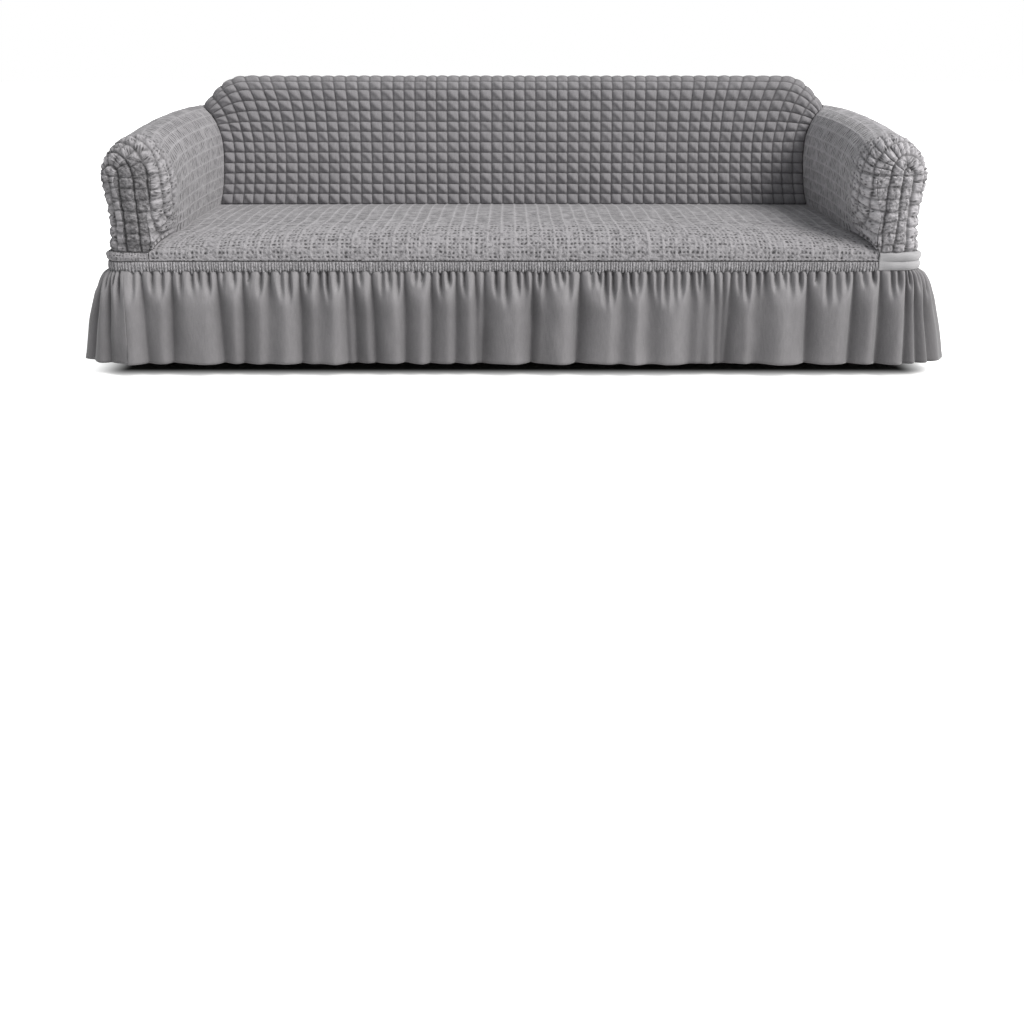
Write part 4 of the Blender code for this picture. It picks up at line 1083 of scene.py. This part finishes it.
corner_x = BASE_HALF - CORNER_RADIUS
corner_y = (BASE_FRONT + CORNER_RADIUS, BASE_REAR - CORNER_RADIUS)
run_x, run_side = 2.0 * corner_x, corner_y[1] - corner_y[0]
stretches = np.array((run_x, CORNER_SWEEP, run_side, CORNER_SWEEP) * 2)
starts = np.append(0.0, np.cumsum(stretches))
round_trip = starts[-1]
corner_points = np.array([(corner_x * x, corner_y[y]) for x, y in ((-1, 0), (1, 0), (1, 1), (-1, 1))])
pieces = [np.arange(a, b, SKIRT_SPACING[k // 2] if k % 2 == 0 else CORNER_SPACING)
          for k, (a, b) in enumerate(zip(starts, starts[1:]))]
at = np.append(np.concatenate(pieces), round_trip)
stretch = np.clip(np.searchsorted(starts, at, side="right") - 1, 0, 7)
share = (at - starts[stretch]) / stretches[stretch]
side_no = stretch // 2
turning = stretch % 2 == 1
begin, end = corner_points[side_no], corner_points[(side_no + 1) % 4]
centre = np.where(turning[:, None], end, begin + (end - begin) * share[:, None])
angle = -math.pi / 2 + side_no * math.pi / 2 + np.where(turning, share * math.pi / 2, 0.0)
out = np.stack((np.cos(angle), np.sin(angle)), axis=1)
mix = np.where(turning, np.sin(share * math.pi / 2) ** 2, 0.0)
flare = FLARES[side_no] * (1.0 - mix) + FLARES[(side_no + 1) % 4] * mix
for corner, tuck in zip((7, 1, 3, 5), CORNER_TUCKS):
    off = (at - starts[corner] - 0.5 * CORNER_SWEEP + round_trip / 2) % round_trip - round_trip / 2
    flare -= tuck * np.exp(-(off / CORNER_TUCK_REACH) ** 2)

chance = np.random.default_rng(19)
level = np.linspace(0.0, 1.0, SKIRT_ROWS + 1) ** SKIRT_LEVEL_POWER
heights = np.zeros((len(at), len(level)))
pit_at = chance.uniform(*PIT_GAP)
to_fold = 2
while pit_at < round_trip - ROUND_END:
    to_fold -= 1
    length = chance.uniform(*PIT_LENGTH)
    drift = chance.uniform(*PIT_DRIFT)
    grown = ease(level / FOLD_GROWN)
    long_fold = to_fold == 0
    crisp = long_fold and chance.uniform() < CREASE_SHARE
    if long_fold:
        top, limits, widths = ((PIT_DEPTH * CREASE_TOP, CREASE_DEPTH, CREASE_WIDTHS) if crisp
                               else (PIT_DEPTH, VALLEY_DEPTH, VALLEY_WIDTHS))
        deep = top + (chance.uniform(*limits) - top) * grown
        widening = grown
        place = pit_at + drift * level
    else:
        faded = ease((level - PIT_FADE[0] * length) / (PIT_FADE[1] * length))
        deep = PIT_DEPTH * chance.uniform(*PIT_SHARE) * (1.0 - faded)
        widths, widening = PIT_WIDTHS, level
        place = pit_at + drift * ease(level / (2.0 * length))
    wide = [narrow + extra * widening for narrow, extra in widths]
    off = (at[:, None] - place + round_trip / 2) % round_trip - round_trip / 2
    far = np.abs(off) / np.where(off < 0.0, *wide)
    edge = np.sqrt(far ** 2 + CREASE_EDGE[0]) - CREASE_EDGE[1]
    heights += (deep * np.exp(-edge if crisp else -VALLEY_EDGE * far ** 2)) ** 3.0
    if long_fold:
        to_fold = int(chance.choice(FOLD_MEMBERS))
        at_corner = np.any(np.abs(pit_at - starts[1::2] - 0.5 * CORNER_SWEEP) < CORNER_NEAR * CORNER_SWEEP)
        to_fold = min(to_fold, 2) if at_corner else to_fold
    pit_at += chance.uniform(*PIT_GAP)
relief = RIDGE_HEIGHT[0] + RIDGE_HEIGHT[1] * ease(level / RIDGE_GROWN) - heights ** (1.0 / 3.0)
relief += SKIRT_CRUMPLE * crumple(at[:, None] / SKIRT_CRUMPLE_SIZE, level * 2.0, 101) * ease(level * 2.0)
sewn = CORNER_RADIUS - SKIRT_SETBACK - GATHER_DEPTH * (1.0 - level)
power = FLARE_POWER[0] + (FLARE_POWER[1] - FLARE_POWER[0]) * np.abs(out[:, :1])
spread = sewn + flare[:, None] * level ** power + RIDGES_OUT
spread += relief * ease(RELIEF_AT_SEAM + level / RELIEF_GROWN)
skirt_xy = centre[:, None, :] + out[:, None, :] * spread[..., None]
hem = HEM_HEIGHT + HEM_WAVE * crumple(at / HEM_WAVE_SIZE, 0.0, 111)
skirt_z = SKIRT_TOP + (hem[:, None] - SKIRT_TOP) * level
skirt_z[:, 0] += SKIRT_TUCK
skirt_base = np.concatenate((skirt_xy, skirt_z[..., None]), axis=-1)
hem_lift = np.broadcast_to(HEM_RELIEF * ease((level - HEM_START) / HEM_FADE), relief.shape)
skirt_uv = cloth_lengths(skirt_base)
# Painted shade: darker by depth in the pits, creases and valleys, lighter on the ridges.
fallen = ease(level / FALL_PAINTED_SHADE_GROWN)
skirt_painted_shade = (TOP_PAINTED_SHADE[0] + relief / TOP_PAINTED_SHADE[1]) * (1.0 - fallen)
skirt_painted_shade += (FALL_PAINTED_SHADE[0] + relief / FALL_PAINTED_SHADE[1]) * fallen
skirt = cloth_panel("gathered_skirt", skirt_base, hem_lift, -1.0, skirt_uv, skirt_painted_shade, (1, 4))
# Skirt colours from the deepest painted shade to the lit ridges.
skirt_cloth = cloth_finish("plain_skirt_cloth", (0.086, 0.083, 0.087), (0.236, 0.229, 0.237),
                           stroke_depth=0.0003, crumple=1.0, contrast=0.05, yarn_depth=0.00003, roughness=0.6,
                           sheen=0.5)
dress(skirt, skirt_cloth, ["skirt_front", "skirt_right", "skirt_back", "skirt_left"],
      flat_size(skirt_uv))
